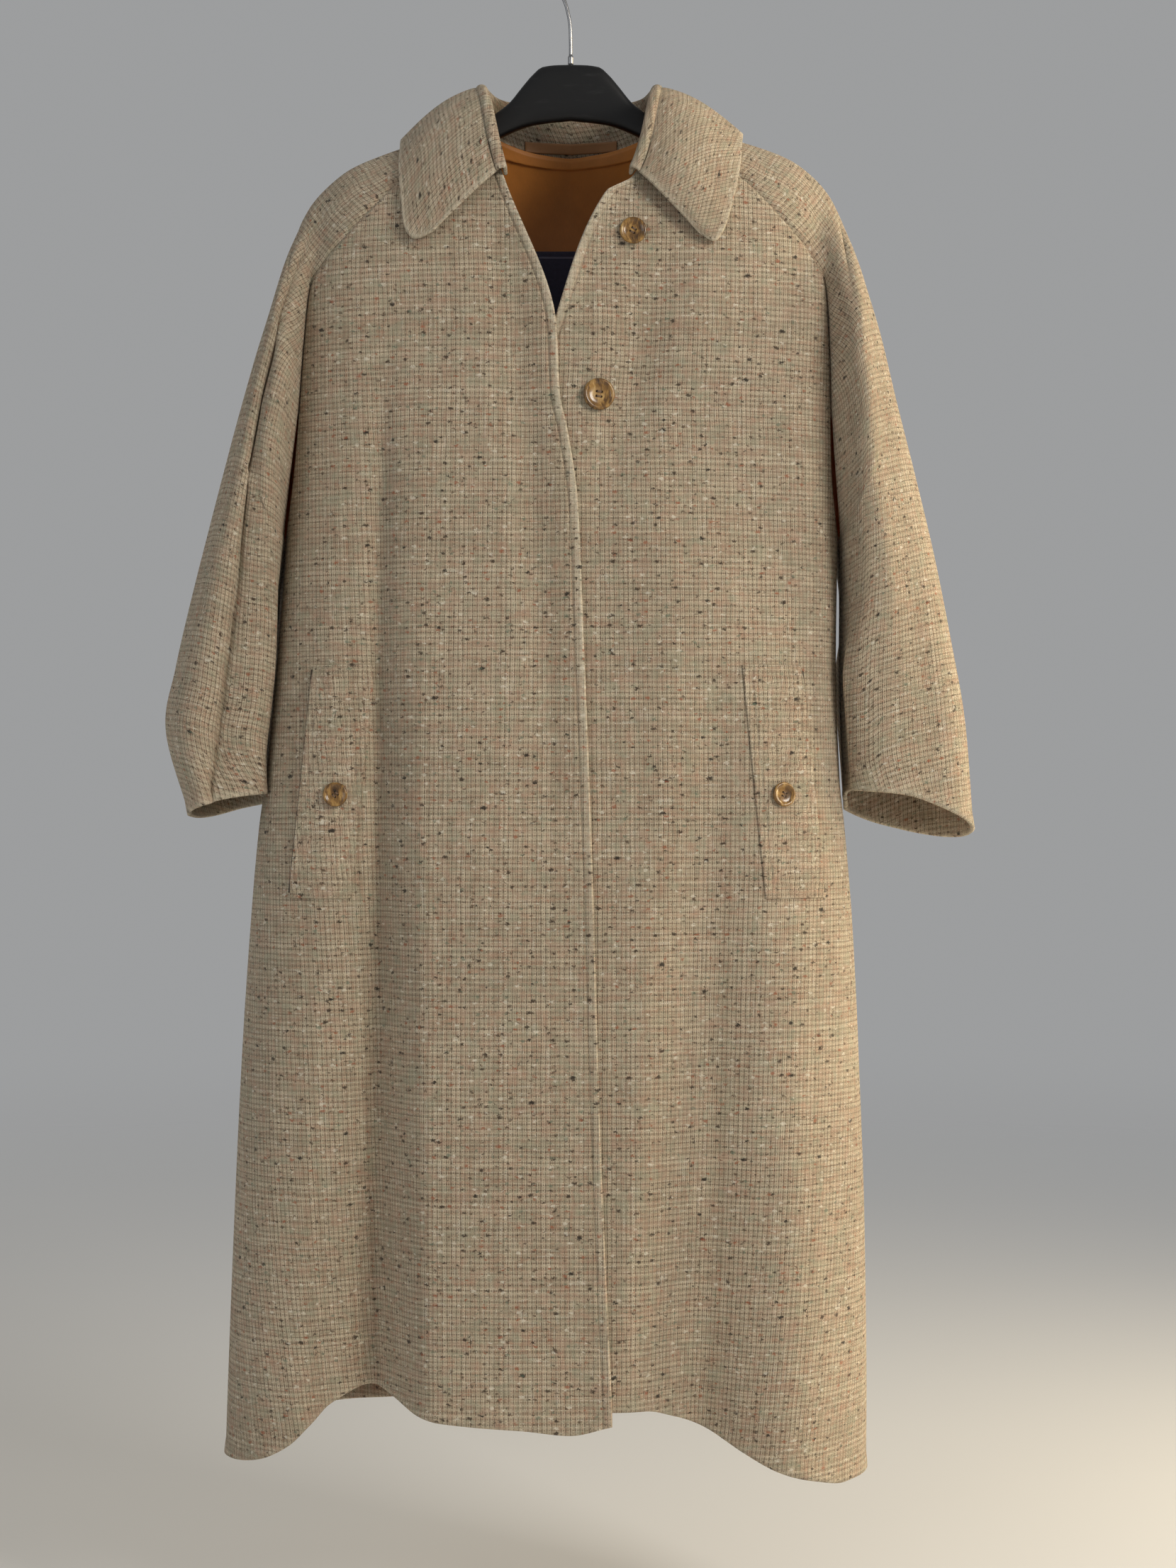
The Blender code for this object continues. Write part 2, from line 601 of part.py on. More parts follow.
def patch(name, surface, spots, gap, wall, made):
    """A thin piece that lies on a panel: the panel's points moved out along its normals."""
    points = laid(surface, spots)
    normals = grid_normals(points, True)
    return sheet(name, points + normals * (gap + wall * 0.5), normals, wall, made)


def welt_spots(slant, centre_x):
    """Places of a pocket welt on a front, row by row."""
    spots = []
    for down in np.linspace(-0.5, 0.5, WELT_ROWS) * WELT_LONG:
        across = np.linspace(-0.5, 0.5, WELT_COLUMNS) * WELT_WIDE
        spots.append([(centre_x + slant * down + step, WELT_Z - down) for step in across])
    return spots


def button(name, surface, place, made):
    """A turned button with a raised rim, lying on the cloth."""
    radius = 0.5 * place["wide"]
    x, z = place["x"], place["z"]
    cross = laid(surface, [[(x, z), (x - radius, z), (x + radius, z), (x, z - radius), (x, z + radius)]])[0]
    normal = unit(np.cross(cross[2] - cross[1], cross[4] - cross[3]))
    heights = (cross - cross[0]) @ normal
    base = cross[0] + normal * (heights.max() + BUTTON_GAP)
    thick = BUTTON_THICK * radius
    across = np.cross(normal, (0.0, 0.0, 1.0))
    across /= np.linalg.norm(across)
    up = np.cross(across, normal)
    bm = bmesh.new()
    rings = []
    for wide, tall in zip(BUTTON_PROFILE["radius"], BUTTON_PROFILE["height"]):
        middle = base + normal * tall * thick
        if wide == 0.0:
            rings.append([bm.verts.new(middle)])
            continue
        ring = []
        for k in range(BUTTON_SIDES):
            turn = 2.0 * math.pi * k / BUTTON_SIDES
            way = math.cos(turn) * across + math.sin(turn) * up
            ring.append(bm.verts.new(middle + way * wide * radius))
        rings.append(ring)
    for low, high in zip(rings[:-1], rings[1:]):
        for k in range(BUTTON_SIDES):
            j = (k + 1) % BUTTON_SIDES
            corners = [low[k % len(low)], low[j % len(low)], high[j % len(high)], high[k % len(high)]]
            bm.faces.new(list(dict.fromkeys(corners)))
    return add_object(name, bm, made)


def hanger_half(outer, way):
    """Half the hanger seen from the front: top line outwards, then the underside back."""
    top = list(zip(HUMP_TOP["x"], HUMP_TOP["z"]))
    under = []
    for k in range(1, ARM_STEPS + 1):
        x = RIDGE_NECK_X + (HANGER_END_X - RIDGE_NECK_X) * k / ARM_STEPS
        ridge = np.interp(x, np.abs(outer["x"][:RIDGE_ROWS]), outer["z"][:RIDGE_ROWS])
        z = float(ridge) - HANGER_UNDER
        top.append((x, z))
        under.append((x - HANGER_END_ROUND, z - HANGER_ARM_TALL))
    under = under[::-1] + list(zip(HUMP_UNDER["x"], HUMP_UNDER["z"]))[::-1]
    return [(way * x, z) for x, z in top + under]


def hanger(made):
    right_half = hanger_half(OUTER_RIGHT, 1.0)
    left_half = hanger_half(OUTER_LEFT, -1.0)
    loop = right_half + left_half[-2:0:-1]
    bm = bmesh.new()
    corners = [bm.verts.new((x, -0.5 * HANGER_THICK, z)) for x, z in loop]
    face = bm.faces.new(corners)
    grown = bmesh.ops.extrude_face_region(bm, geom=[face])
    moved = [item for item in grown["geom"] if isinstance(item, bmesh.types.BMVert)]
    bmesh.ops.translate(bm, verts=moved, vec=(0.0, HANGER_THICK, 0.0))
    piece = add_object("hanger_body", bm, made)
    soft = piece.modifiers.new("soft edges", "BEVEL")
    soft.width = HANGER_BEVEL
    soft.segments = 3
    soft.limit_method = "ANGLE"
    soft.angle_limit = HANGER_BEVEL_ANGLE
    return piece


def hook_path():
    """Centre line of the wire from the hanger up and over the rail."""
    middle_z = 0.5 * WIRE - HOOK_RADIUS
    points = list(zip(HOOK_STEM["x"], HOOK_STEM["z"]))
    for k in range(HOOK_STEPS + 1):
        turn = HOOK_TURN_START - HOOK_TIP_TURN * k / HOOK_STEPS
        points.append((HOOK_RADIUS * math.cos(turn), middle_z + HOOK_RADIUS * math.sin(turn)))
    return points


def hook(made):
    path = np.array([(x, 0.0, z) for x, z in hook_path()])
    places = np.linspace(0.0, len(path) - 1, 4 * HOOK_RINGS)
    line = evenly(through(path, places), HOOK_RINGS)
    bm = bmesh.new()
    rings = []
    for k, point in enumerate(line):
        way = line[min(k + 1, len(line) - 1)] - line[max(k - 1, 0)]
        way /= np.linalg.norm(way)
        across = np.cross((0.0, 1.0, 0.0), way)
        ring = []
        for s in range(HOOK_SIDES):
            turn = 2.0 * math.pi * s / HOOK_SIDES
            spoke = math.cos(turn) * across + math.sin(turn) * np.array((0.0, 1.0, 0.0))
            ring.append(bm.verts.new(point + 0.5 * WIRE * spoke))
        rings.append(ring)
    for low, high in zip(rings[:-1], rings[1:]):
        for s in range(HOOK_SIDES):
            n = (s + 1) % HOOK_SIDES
            bm.faces.new((low[s], low[n], high[n], high[s]))
    bm.faces.new(rings[0])
    bm.faces.new(rings[-1])
    return add_object("hanger_hook", bm, made)


for old in list(bpy.data.objects):
    bpy.data.objects.remove(old)

tweed = material("tweed", TWEED, 0.9)
lining_cloth = material("lining", LINING, 0.45)
label_cloth = material("label", NAVY, 0.7)
loop_cloth = material("loop", BROWN, 0.6)
horn = material("horn", HORN, 0.25)
plastic = material("plastic", BLACK, 0.35)
steel = material("steel", STEEL, 0.25, 1.0)

left = front_grid("left")
right = front_grid("right")
back = back_grid()
sleeve_left = sleeve_grid("left")
sleeve_right = sleeve_grid("right")
collar = collar_grid()

left_out = grid_normals(left, True)
right_out = grid_normals(right, False)
back_out = grid_normals(back, False)
sleeve_left_out = grid_normals(sleeve_left, False)
sleeve_right_out = grid_normals(sleeve_right, True)
collar_out = grid_normals(collar, False)

seam_rows = len(RAGLAN_LEFT["x"])
for front, front_out, arm_out, back_column in (
    (left, left_out, sleeve_left_out, 0),
    (right, right_out, sleeve_right_out, -1),
):
    share(front_out[:seam_rows - 2, 0], arm_out[:seam_rows - 2, 0])
    share(back_out[:seam_rows - 2, back_column], arm_out[:seam_rows - 2, -1])
    share(front_out[seam_rows - 1:, 0], back_out[seam_rows - 1:, back_column])
    share(arm_out[seam_rows - 1:, 0], arm_out[seam_rows - 1:, -1])
    draw_back(front, 0, SEAM_GAP)
for arm in (sleeve_left, sleeve_right):
    draw_back(arm, 0, SEAM_GAP)
    draw_back(arm, -1, SEAM_GAP)
draw_back(back, 0, SEAM_GAP)
draw_back(back, -1, SEAM_GAP)

front_right = sheet("front_right", left, left_out, WALL, tweed)
front_left = sheet("front_left", right, right_out, WALL, tweed)
sheet("back", back, back_out, WALL, tweed)
sheet("sleeve_right", sleeve_left, sleeve_left_out, WALL, tweed)
sheet("sleeve_left", sleeve_right, sleeve_right_out, WALL, tweed)
collar_piece = sheet("collar", collar, collar_out, COLLAR_WALL, tweed)

right_welt = patch("pocket_welt_right", surface_of(front_right), welt_spots(-WELT_SLANT, WELT_LEFT_X),
                   WELT_GAP, WELT_WALL, tweed)
left_welt = patch("pocket_welt_left", surface_of(front_left), welt_spots(WELT_SLANT, WELT_RIGHT_X),
                  WELT_GAP, WELT_WALL, tweed)
button("button_top", surface_of(front_left), BUTTON_TOP, horn)
button("button_front", surface_of(front_left), BUTTON_FRONT, horn)
button("button_pocket_right", surface_of(right_welt), BUTTON_POCKET_LEFT, horn)
button("button_pocket_left", surface_of(left_welt), BUTTON_POCKET_RIGHT, horn)

kept = slice(LINING_MARGIN, BACK_COLUMNS - LINING_MARGIN)
inwards = -back_out[:LINING_ROWS, kept]
lining_points = back[:LINING_ROWS, kept] + inwards * (0.5 * WALL + LAY_GAP + 0.5 * LINING_WALL)
lining = sheet("back_lining", lining_points, inwards, LINING_WALL, lining_cloth)

label_x = np.linspace(-0.5, 0.5, LABEL_COLUMNS) * LABEL_WIDE
label_z = LABEL_TOP - np.linspace(0.0, 1.0, LABEL_ROWS) * LABEL_LONG
patch("label", surface_of(lining), [[(x, z) for x in label_x] for z in label_z],
      LAY_GAP, TRIM_WALL, label_cloth)

loop_x = np.linspace(-0.5, 0.5, LOOP_COLUMNS) * LOOP_WIDE
loop_z = LOOP_TOP - np.linspace(0.0, 1.0, LOOP_ROWS) * LOOP_TALL
patch("hanging_loop", surface_of(collar_piece), [[(x, z) for x in loop_x] for z in loop_z],
      LAY_GAP, TRIM_WALL, loop_cloth)

hanger(plastic)
hook(steel)
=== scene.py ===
"""Looks of the tweed raglan coat on its hanger. Metres, +Z up, the coat's front faces -Y.

Left and right in the names of sizes are the viewer's; left and right in piece names are the wearer's.
"""
import math

import bmesh
import bpy
import numpy as np
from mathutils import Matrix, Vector
from mathutils.bvhtree import BVHTree
from mathutils.kdtree import KDTree


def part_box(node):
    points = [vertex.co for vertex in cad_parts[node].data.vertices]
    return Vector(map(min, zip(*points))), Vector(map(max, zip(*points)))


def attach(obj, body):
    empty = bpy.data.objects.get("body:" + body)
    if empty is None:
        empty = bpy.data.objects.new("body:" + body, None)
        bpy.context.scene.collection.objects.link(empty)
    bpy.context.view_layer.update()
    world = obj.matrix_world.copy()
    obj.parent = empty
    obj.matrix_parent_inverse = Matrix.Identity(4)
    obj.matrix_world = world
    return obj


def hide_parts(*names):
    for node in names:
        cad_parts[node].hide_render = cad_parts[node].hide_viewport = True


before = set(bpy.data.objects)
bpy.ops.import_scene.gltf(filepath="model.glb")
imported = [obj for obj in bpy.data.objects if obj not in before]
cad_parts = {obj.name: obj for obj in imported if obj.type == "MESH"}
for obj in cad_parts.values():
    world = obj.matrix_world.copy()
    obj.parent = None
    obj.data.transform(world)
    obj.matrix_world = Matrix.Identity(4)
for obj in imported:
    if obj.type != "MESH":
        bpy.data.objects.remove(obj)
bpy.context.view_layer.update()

BODY_NAME = "root"
UV_NAME = "grain"

# Cloth
WALL = 0.0026
COLLAR_WALL = 0.0030
LINING_WALL = 0.0010
SEAM_GAP = 0.0002
LOOK_FROM = 0.3
DENSE = 1200
CROWD_TO_SEAM = 2.5

# Rows and columns of the fine cloth
TOP_ROWS = 112
BELOW_ROWS = 210
SLEEVE_BELOW_ROWS = 92
FRONT_COLUMNS = 116
BACK_COLUMNS = 150
SLEEVE_COLUMNS = 50

# Body: the width and depth of the hanging coat at each height
BODY_POWER = 2.6
SHOULDER_DROP = 0.110
BODY = {
    "z": (-1.270, -1.181, -1.061, -0.941, -0.820, -0.740, -0.700, -0.600, -0.500, -0.400, -0.290, -0.150),
    "left": (-0.290, -0.287, -0.282, -0.276, -0.268, -0.261, -0.2555, -0.246, -0.2385, -0.2345, -0.229,
             -0.226),
    "right": (0.247, 0.248, 0.2465, 0.242, 0.236, 0.2295, 0.2255, 0.2225, 0.224, 0.2255, 0.2245, 0.222),
    "front": (0.120, 0.118, 0.115, 0.111, 0.107, 0.104, 0.102, 0.098, 0.094, 0.089, 0.082, 0.074),
    "back": (0.116, 0.114, 0.111, 0.107, 0.103, 0.100, 0.098, 0.094, 0.090, 0.085, 0.078, 0.068),
}

# Shoulder ridge carried inwards over the neck
RIDGE_NECK_X = 0.083
RIDGE_NECK_Z = -0.1485
RIDGE_NECK_SLOPE = 0.35

# Large folds: a trough is positive and a roll negative
FOLDS_FRONT = (
    {"x_top": -0.154, "x_hem": -0.167, "start": -0.330, "w_top": 0.030, "w_hem": 0.064, "depth": 0.058},
    {"x_top": 0.118, "x_hem": 0.096, "start": -0.560, "w_top": 0.045, "w_hem": 0.070, "depth": 0.030},
    {"x_top": 0.185, "x_hem": 0.190, "start": -0.700, "w_top": 0.040, "w_hem": 0.050, "depth": -0.014},
)
FOLDS_BACK = (
    {"x_top": -0.120, "x_hem": -0.150, "start": -0.420, "w_top": 0.040, "w_hem": 0.068, "depth": 0.036},
    {"x_top": 0.010, "x_hem": -0.020, "start": -0.500, "w_top": 0.050, "w_hem": 0.070, "depth": -0.014},
    {"x_top": 0.095, "x_hem": 0.120, "start": -0.450, "w_top": 0.040, "w_hem": 0.066, "depth": 0.034},
)
FOLD_GROWTH = 1.25
FOLD_PAST_HEM = 1.2

# Smaller creases placed one by one: centre line, half width and depth down the cloth
CREASES_FRONT = (
    {"z": (-1.270, -1.000, -0.750, -0.600, -0.420, -0.280),
     "x": (-0.160, -0.157, -0.155, -0.155, -0.154, -0.148),
     "wide": (0.012, 0.010, 0.008, 0.008, 0.010, 0.016), "depth": (0.006, 0.008, 0.009, 0.0085, 0.0055, 0.0)},
    {"z": (-1.270, -1.100, -0.950, -0.800), "x": (-0.214, -0.212, -0.210, -0.208),
     "wide": (0.030, 0.028, 0.024, 0.022), "depth": (0.010, 0.008, 0.005, 0.0)},
    {"z": (-1.270, -1.050, -0.860, -0.700), "x": (-0.184, -0.184, -0.184, -0.184),
     "wide": (0.016, 0.015, 0.014, 0.014), "depth": (-0.008, -0.006, -0.004, 0.0)},
    {"z": (-0.800, -0.640, -0.480, -0.340, -0.240), "x": (-0.010, -0.018, -0.030, -0.046, -0.058),
     "wide": (0.016, 0.016, 0.017, 0.020, 0.022), "depth": (0.0, 0.005, 0.008, 0.009, 0.004)},
    {"z": (-0.560, -0.460, -0.400, -0.320, -0.245), "x": (0.014, 0.030, 0.046, 0.066, 0.084),
     "wide": (0.016, 0.018, 0.019, 0.021, 0.020), "depth": (0.0, 0.005, 0.0085, 0.007, 0.002)},
    {"z": (-1.270, -1.000, -0.800, -0.620), "x": (0.108, 0.116, 0.122, 0.124),
     "wide": (0.024, 0.020, 0.018, 0.016), "depth": (0.006, 0.006, 0.004, 0.0)},
    {"z": (-1.270, -1.050, -0.900), "x": (0.060, 0.060, 0.062),
     "wide": (0.026, 0.024, 0.020), "depth": (-0.006, -0.004, 0.0)},
    {"z": (-0.560, -0.430, -0.330), "x": (-0.110, -0.108, -0.104),
     "wide": (0.028, 0.030, 0.026), "depth": (0.0, -0.003, 0.0)},
    {"z": (-0.620, -0.480, -0.360), "x": (0.150, 0.152, 0.150),
     "wide": (0.026, 0.028, 0.026), "depth": (0.0, 0.003, 0.0)},
)
CREASES_BACK = (
    {"z": (-1.270, -0.950, -0.700, -0.450), "x": (-0.150, -0.140, -0.130, -0.122),
     "wide": (0.018, 0.014, 0.012, 0.012), "depth": (0.005, 0.006, 0.004, 0.0)},
    {"z": (-1.270, -0.950, -0.750, -0.520), "x": (0.118, 0.112, 0.106, 0.100),
     "wide": (0.018, 0.014, 0.012, 0.012), "depth": (0.005, 0.006, 0.004, 0.0)},
    {"z": (-1.270, -1.050, -0.880), "x": (-0.075, -0.070, -0.068),
     "wide": (0.024, 0.022, 0.020), "depth": (0.006, 0.004, 0.0)},
    {"z": (-1.270, -1.050, -0.840), "x": (0.055, 0.052, 0.050),
     "wide": (0.026, 0.024, 0.020), "depth": (0.007, 0.005, 0.0)},
    {"z": (-0.600, -0.440, -0.330), "x": (-0.160, -0.150, -0.140),
     "wide": (0.030, 0.028, 0.024), "depth": (0.0, 0.004, 0.0)},
    {"z": (-0.600, -0.440, -0.330), "x": (0.160, 0.150, 0.142),
     "wide": (0.030, 0.028, 0.024), "depth": (0.0, 0.004, 0.0)},
)

# Slight unevenness of the hanging cloth: waves across and down, with their height
RIPPLES = (
    {"across": 41.0, "down": 6.0, "shift": 0.4, "height": 0.0007},
    {"across": 23.0, "down": 11.0, "shift": 1.9, "height": 0.0009},
    {"across": 67.0, "down": 17.0, "shift": 3.1, "height": 0.0004},
    {"across": 12.0, "down": 29.0, "shift": 5.0, "height": 0.0006},
)

# Hem heights
HEM_START = -0.900
HEM_LEVEL = -1.235
UNDERARM_Z = -0.500
HEM_LEFT_FRONT = {
    "x": (-0.290, -0.255, -0.230, -0.212, -0.197, -0.1655, -0.143, -0.118, -0.083, -0.036, 0.001, 0.034),
    "z": (-1.264, -1.256, -1.243, -1.226, -1.211, -1.198, -1.204, -1.214, -1.218, -1.221, -1.225, -1.218),
}
HEM_RIGHT_FRONT = {
    "x": (-0.060, 0.040, 0.061, 0.084, 0.113, 0.142, 0.170, 0.200, 0.225, 0.247),
    "z": (-1.206, -1.208, -1.209, -1.217, -1.229, -1.245, -1.259, -1.269, -1.276, -1.276),
}
HEM_BACK = {
    "x": (-0.290, -0.200, -0.100, 0.000, 0.100, 0.180, 0.247),
    "z": (-1.264, -1.246, -1.232, -1.228, -1.236, -1.256, -1.276),
}

# Front edges, from the neck seam down to the hem
EDGE_LEFT = {
    "z": (-1.220, -0.989, -0.759, -0.586, -0.475, -0.415, -0.388, -0.330, -0.210, -0.182, -0.155),
    "x": (0.033, 0.0236, 0.0169, 0.0102, 0.0054, -0.0032, -0.009, -0.012, -0.054, -0.063, -0.0725),
}
EDGE_RIGHT = {
    "z": (-1.220, -0.800, -0.550, -0.430, -0.330, -0.220, -0.209, -0.182, -0.155),
    "x": (-0.060, -0.061, -0.060, -0.044, -0.013, 0.0305, 0.050, 0.063, 0.0725),
}
VEE_ROLL = {"z": (-0.330, -0.295, -0.250, -0.215, -0.205), "lift": (0.0, 0.0035, 0.0045, 0.003, 0.0)}
VEE_ROLL_WIDE = 0.020
LAP = 0.0021
LAP_SOFT = 0.050
LAP_LEFT_X = -0.064
LAP_RIGHT_X = 0.036
LAP_SWELL_SOFT = 0.020
VEE_FOOT = -0.400

# Sleeves: the raglan seam and the outer line, row by row from the neck to the underarm
RAGLAN_LEFT = {
    "x": (-0.080, -0.110, -0.1465, -0.180, -0.203, -0.217, -0.2225, -0.2265, -0.2315, -0.2385),
    "z": (-0.155, -0.178, -0.2107, -0.2448, -0.270, -0.292, -0.340, -0.395, -0.450, -0.500),
}
RAGLAN_RIGHT = {
    "x": (0.080, 0.110, 0.1465, 0.178, 0.200, 0.2125, 0.2160, 0.2170, 0.2185, 0.224),
    "z": (-0.155, -0.176, -0.207, -0.240, -0.266, -0.290, -0.340, -0.395, -0.450, -0.500),
}
OUTER_LEFT = {
    "x": (-0.083, -0.122, -0.155, -0.184, -0.204, -0.219, -0.233, -0.2445, -0.262, -0.2805,
          -0.298, -0.316, -0.332, -0.3405, -0.3205),
    "z": (-0.1485, -0.1625, -0.1735, -0.1855, -0.2005, -0.2175, -0.246, -0.290, -0.345, -0.408,
          -0.470, -0.538, -0.606, -0.660, -0.731),
}
OUTER_RIGHT = {
    "x": (0.083, 0.122, 0.155, 0.184, 0.203, 0.2185, 0.232, 0.2445, 0.2585, 0.2735,
          0.289, 0.306, 0.3205, 0.332, 0.339),
    "z": (-0.1485, -0.158, -0.167, -0.178, -0.1915, -0.2095, -0.238, -0.280, -0.325, -0.385,
          -0.445, -0.515, -0.588, -0.655, -0.744),
}
RIDGE_ROWS = 9
INNER_Z = (-0.500, -0.545, -0.595, -0.645, -0.685, -0.713)
UNDERARM_CLEAR = {"row": (6, 7, 8, 9, 10), "gap": (0.0, 0.0002, 0.0030, 0.0038, 0.0065)}
UNDERARM_SOFT = {"row": (8.2, 9.0, 9.8, 10.6), "part": (1.0, 0.62, 0.22, 0.0)}
UNDERARM_SHARE = 0.17
SHOULDER_ROWS = 4
SLEEVE_ROW_EASE = 3
SPLAY_ROWS = 2
ARC_REACH = 0.75
BULGE_LEFT = (0.060, 0.068, 0.074, 0.078, 0.079, 0.077, 0.073, 0.069, 0.068, 0.070)
BULGE_RIGHT = (0.060, 0.068, 0.074, 0.077, 0.077, 0.073, 0.067, 0.060, 0.054, 0.050)
SEAM_SPLAY = 0.8
SLEEVE_FOLD_LEFT = {"around": 0.215, "width": 0.085, "depth": 0.006}
SLEEVE_FOLD_RIGHT = {"around": 0.300, "width": 0.140, "depth": 0.004}
CUFF_ROWS = 3
CUFF_TILT_LEFT = 0.004
CUFF_TILT_RIGHT = 0.014
SEAM_CALM = 0.08
SEAM_FREE_ROWS = 24

# Sharp crease down the left sleeve's front, and the inner side of both sleeves tucked against the body
SHARP_LINE = {"z": (-0.710, -0.625, -0.573, -0.521, -0.390), "x": (-0.293, -0.283, -0.275, -0.268, -0.258)}
SHARP_ROW = 9.0
SHARP_FADE = {"row": (5.5, 8.5, 14.0), "depth": (0.0, 0.0105, 0.0105)}
SHARP_WIDE = 0.0055
SHARP_ROUND = 0.0008
SHARP_THIN = 0.0012
SHARP_THIN_WIDE = 0.0030
STRIP_BULGE = 0.0035
PLAIN_SHARE = {"left": 0.45, "right": 0.35}
STRIP_COLUMNS = 24
REST_COLUMNS = 34
CREASE_STEPS = np.array((0.0, 0.9, 1.9, 3.1, 4.8)) / 1000.0
TUCK = {"share": (0.0, 0.10, 0.18, 0.26, 0.36, 0.50, 1.0), "part": (0.0, 0.06, 0.42, 1.0, 0.75, 0.0, 0.0)}
TUCK_IN = 0.0115
TUCK_START = {"left": 8.6, "right": 10.3}
TUCK_ROWS = {"left": 3.0, "right": 1.4}

# Smaller creases of the sleeves: place around (0 front seam, 1 back seam) by row
CREASES_SLEEVE_LEFT = (
    {"row": (9.0, 11.0, 13.0, 14.0), "around": (0.385, 0.390, 0.395, 0.400),
     "wide": (0.050, 0.055, 0.055, 0.050), "depth": (0.0, 0.003, 0.003, 0.001)},
    {"row": (7.0, 9.5, 12.0, 14.0), "around": (0.700, 0.720, 0.740, 0.750),
     "wide": (0.050, 0.055, 0.060, 0.060), "depth": (0.0, -0.006, -0.005, -0.003)},
    {"row": (7.5, 9.0, 10.5), "around": (0.900, 0.880, 0.850),
     "wide": (0.050, 0.050, 0.050), "depth": (0.0, -0.004, 0.0)},
)
CREASES_SLEEVE_RIGHT = (
    {"row": (6.0, 8.0, 11.0, 14.0), "around": (0.330, 0.320, 0.310, 0.300),
     "wide": (0.050, 0.055, 0.060, 0.060), "depth": (0.0, 0.003, 0.004, 0.002)},
    {"row": (9.0, 11.0, 13.0, 14.0), "around": (0.150, 0.155, 0.160, 0.160),
     "wide": (0.040, 0.045, 0.050, 0.050), "depth": (0.0, -0.003, -0.003, -0.002)},
    {"row": (7.0, 9.5, 12.0, 14.0), "around": (0.680, 0.700, 0.720, 0.730),
     "wide": (0.050, 0.055, 0.060, 0.060), "depth": (0.0, -0.006, -0.005, -0.003)},
    {"row": (7.5, 9.0, 10.5), "around": (0.900, 0.880, 0.850),
     "wide": (0.050, 0.050, 0.050), "depth": (0.0, -0.004, 0.0)},
)

# Collar: the neck seam, the fold and the outer edge, from the front end to the centre back
STAND_LIFT = 0.0017
FOLD_RADIUS = 0.0034
LEAF_LIFT = 0.0065
LEAF_BULGE = 0.0060
LEAF_SKEW = 0.8
STAND_STEPS = 12
FOLD_STEPS = 9
COLLAR_HALF = 96
COLLAR_LEFT = {
    "seam_x": (-0.0527, -0.0549, -0.0574, -0.0611, -0.0700, -0.0795, -0.0830, -0.0725, -0.0400, 0.0),
    "seam_z": (-0.2060, -0.1990, -0.1910, -0.1800, -0.1560, -0.1503, -0.1485, -0.1540, -0.1635, -0.1680),
    "fold_x": (-0.0560, -0.0585, -0.0610, -0.0640, -0.0700, -0.0738, -0.0745, -0.0630, -0.0360, 0.0),
    "fold_y": (-0.0800, -0.0790, -0.0765, -0.0710, -0.0500, -0.0250, 0.0, 0.0400, 0.0585, 0.0640),
    "fold_z": (-0.2020, -0.1925, -0.1825, -0.1685, -0.1385, -0.1245, -0.1190, -0.1190, -0.1200, -0.1205),
    "edge_x": (-0.1120, -0.1255, -0.1335, -0.1370, -0.1405, -0.1415, -0.1390, -0.1120, -0.0570, 0.0),
    "edge_z": (-0.2545, -0.2590, -0.2510, -0.2370, -0.2030, -0.1780, -0.1590, -0.1720, -0.1900, -0.1960),
}
COLLAR_RIGHT = {
    **COLLAR_LEFT,
    "seam_x": (0.0495, 0.0540, 0.0570, 0.0611, 0.0700, 0.0795, 0.0830, 0.0725, 0.0400, 0.0),
    "fold_x": (0.0530, 0.0570, 0.0600, 0.0635, 0.0690, 0.0720, 0.0725, 0.0620, 0.0360, 0.0),
    "edge_x": (0.1060, 0.1170, 0.1240, 0.1300, 0.1385, 0.1420, 0.1420, 0.1140, 0.0570, 0.0),
    "edge_z": (-0.2560, -0.2610, -0.2530, -0.2370, -0.2020, -0.1740, -0.1550, -0.1710, -0.1900, -0.1960),
}
SIDE_ROW = 6
COLLAR_END_SKEW = 1.6
NECK_DIP = 0.013
CURL_LEFT = 0.0035
CURL_RIGHT = 0.0010
CURL_ROWS = 3.0
LEAF_FLAT = 0.70
LEAF_FLAT_ROWS = 20
LEAF_EDGE_ROWS = 31
LEAF_FROM = 0.045
LEAF_SOFT = 0.012

# Sewn edges: steps in from the edge, the swell of the folded edge and the stitched line
EDGE_STEPS = np.array((0.0, 0.8, 1.8, 3.0, 4.4, 5.4, 6.0, 6.6, 7.2, 7.8, 8.8, 10.4, 12.8, 16.0)) / 1000.0
SEAM_STEPS = np.array((0.0, 0.7, 1.5, 2.6, 4.4)) / 1000.0
STEPS_SHARE = 0.35
EDGE_SWELL = 0.0012
EDGE_SWELL_WIDE = 0.014
STITCH_IN = 0.0066
STITCH_GROOVE = 0.0013
STITCH_GROOVE_WIDE = 0.0009
SEAM_DIP = 0.0016
SEAM_DIP_WIDE = 0.0046
STITCH_PITCH = 0.0044
STITCH_LONG = 0.0032
STITCH_THICK = 0.00042
FACING_WIDE = 0.105
HEM_TURN = 0.045
CUFF_TURN = 0.060
SEAM_BULGE = 0.02
EDGE_BULGE = 0.42
THIN_BULGE = {"welt": (0.3,) * 4, "mouth_shadow": (0.1,) * 4, "lining": (0.2,) * 4, "strip": (0.3,) * 4}

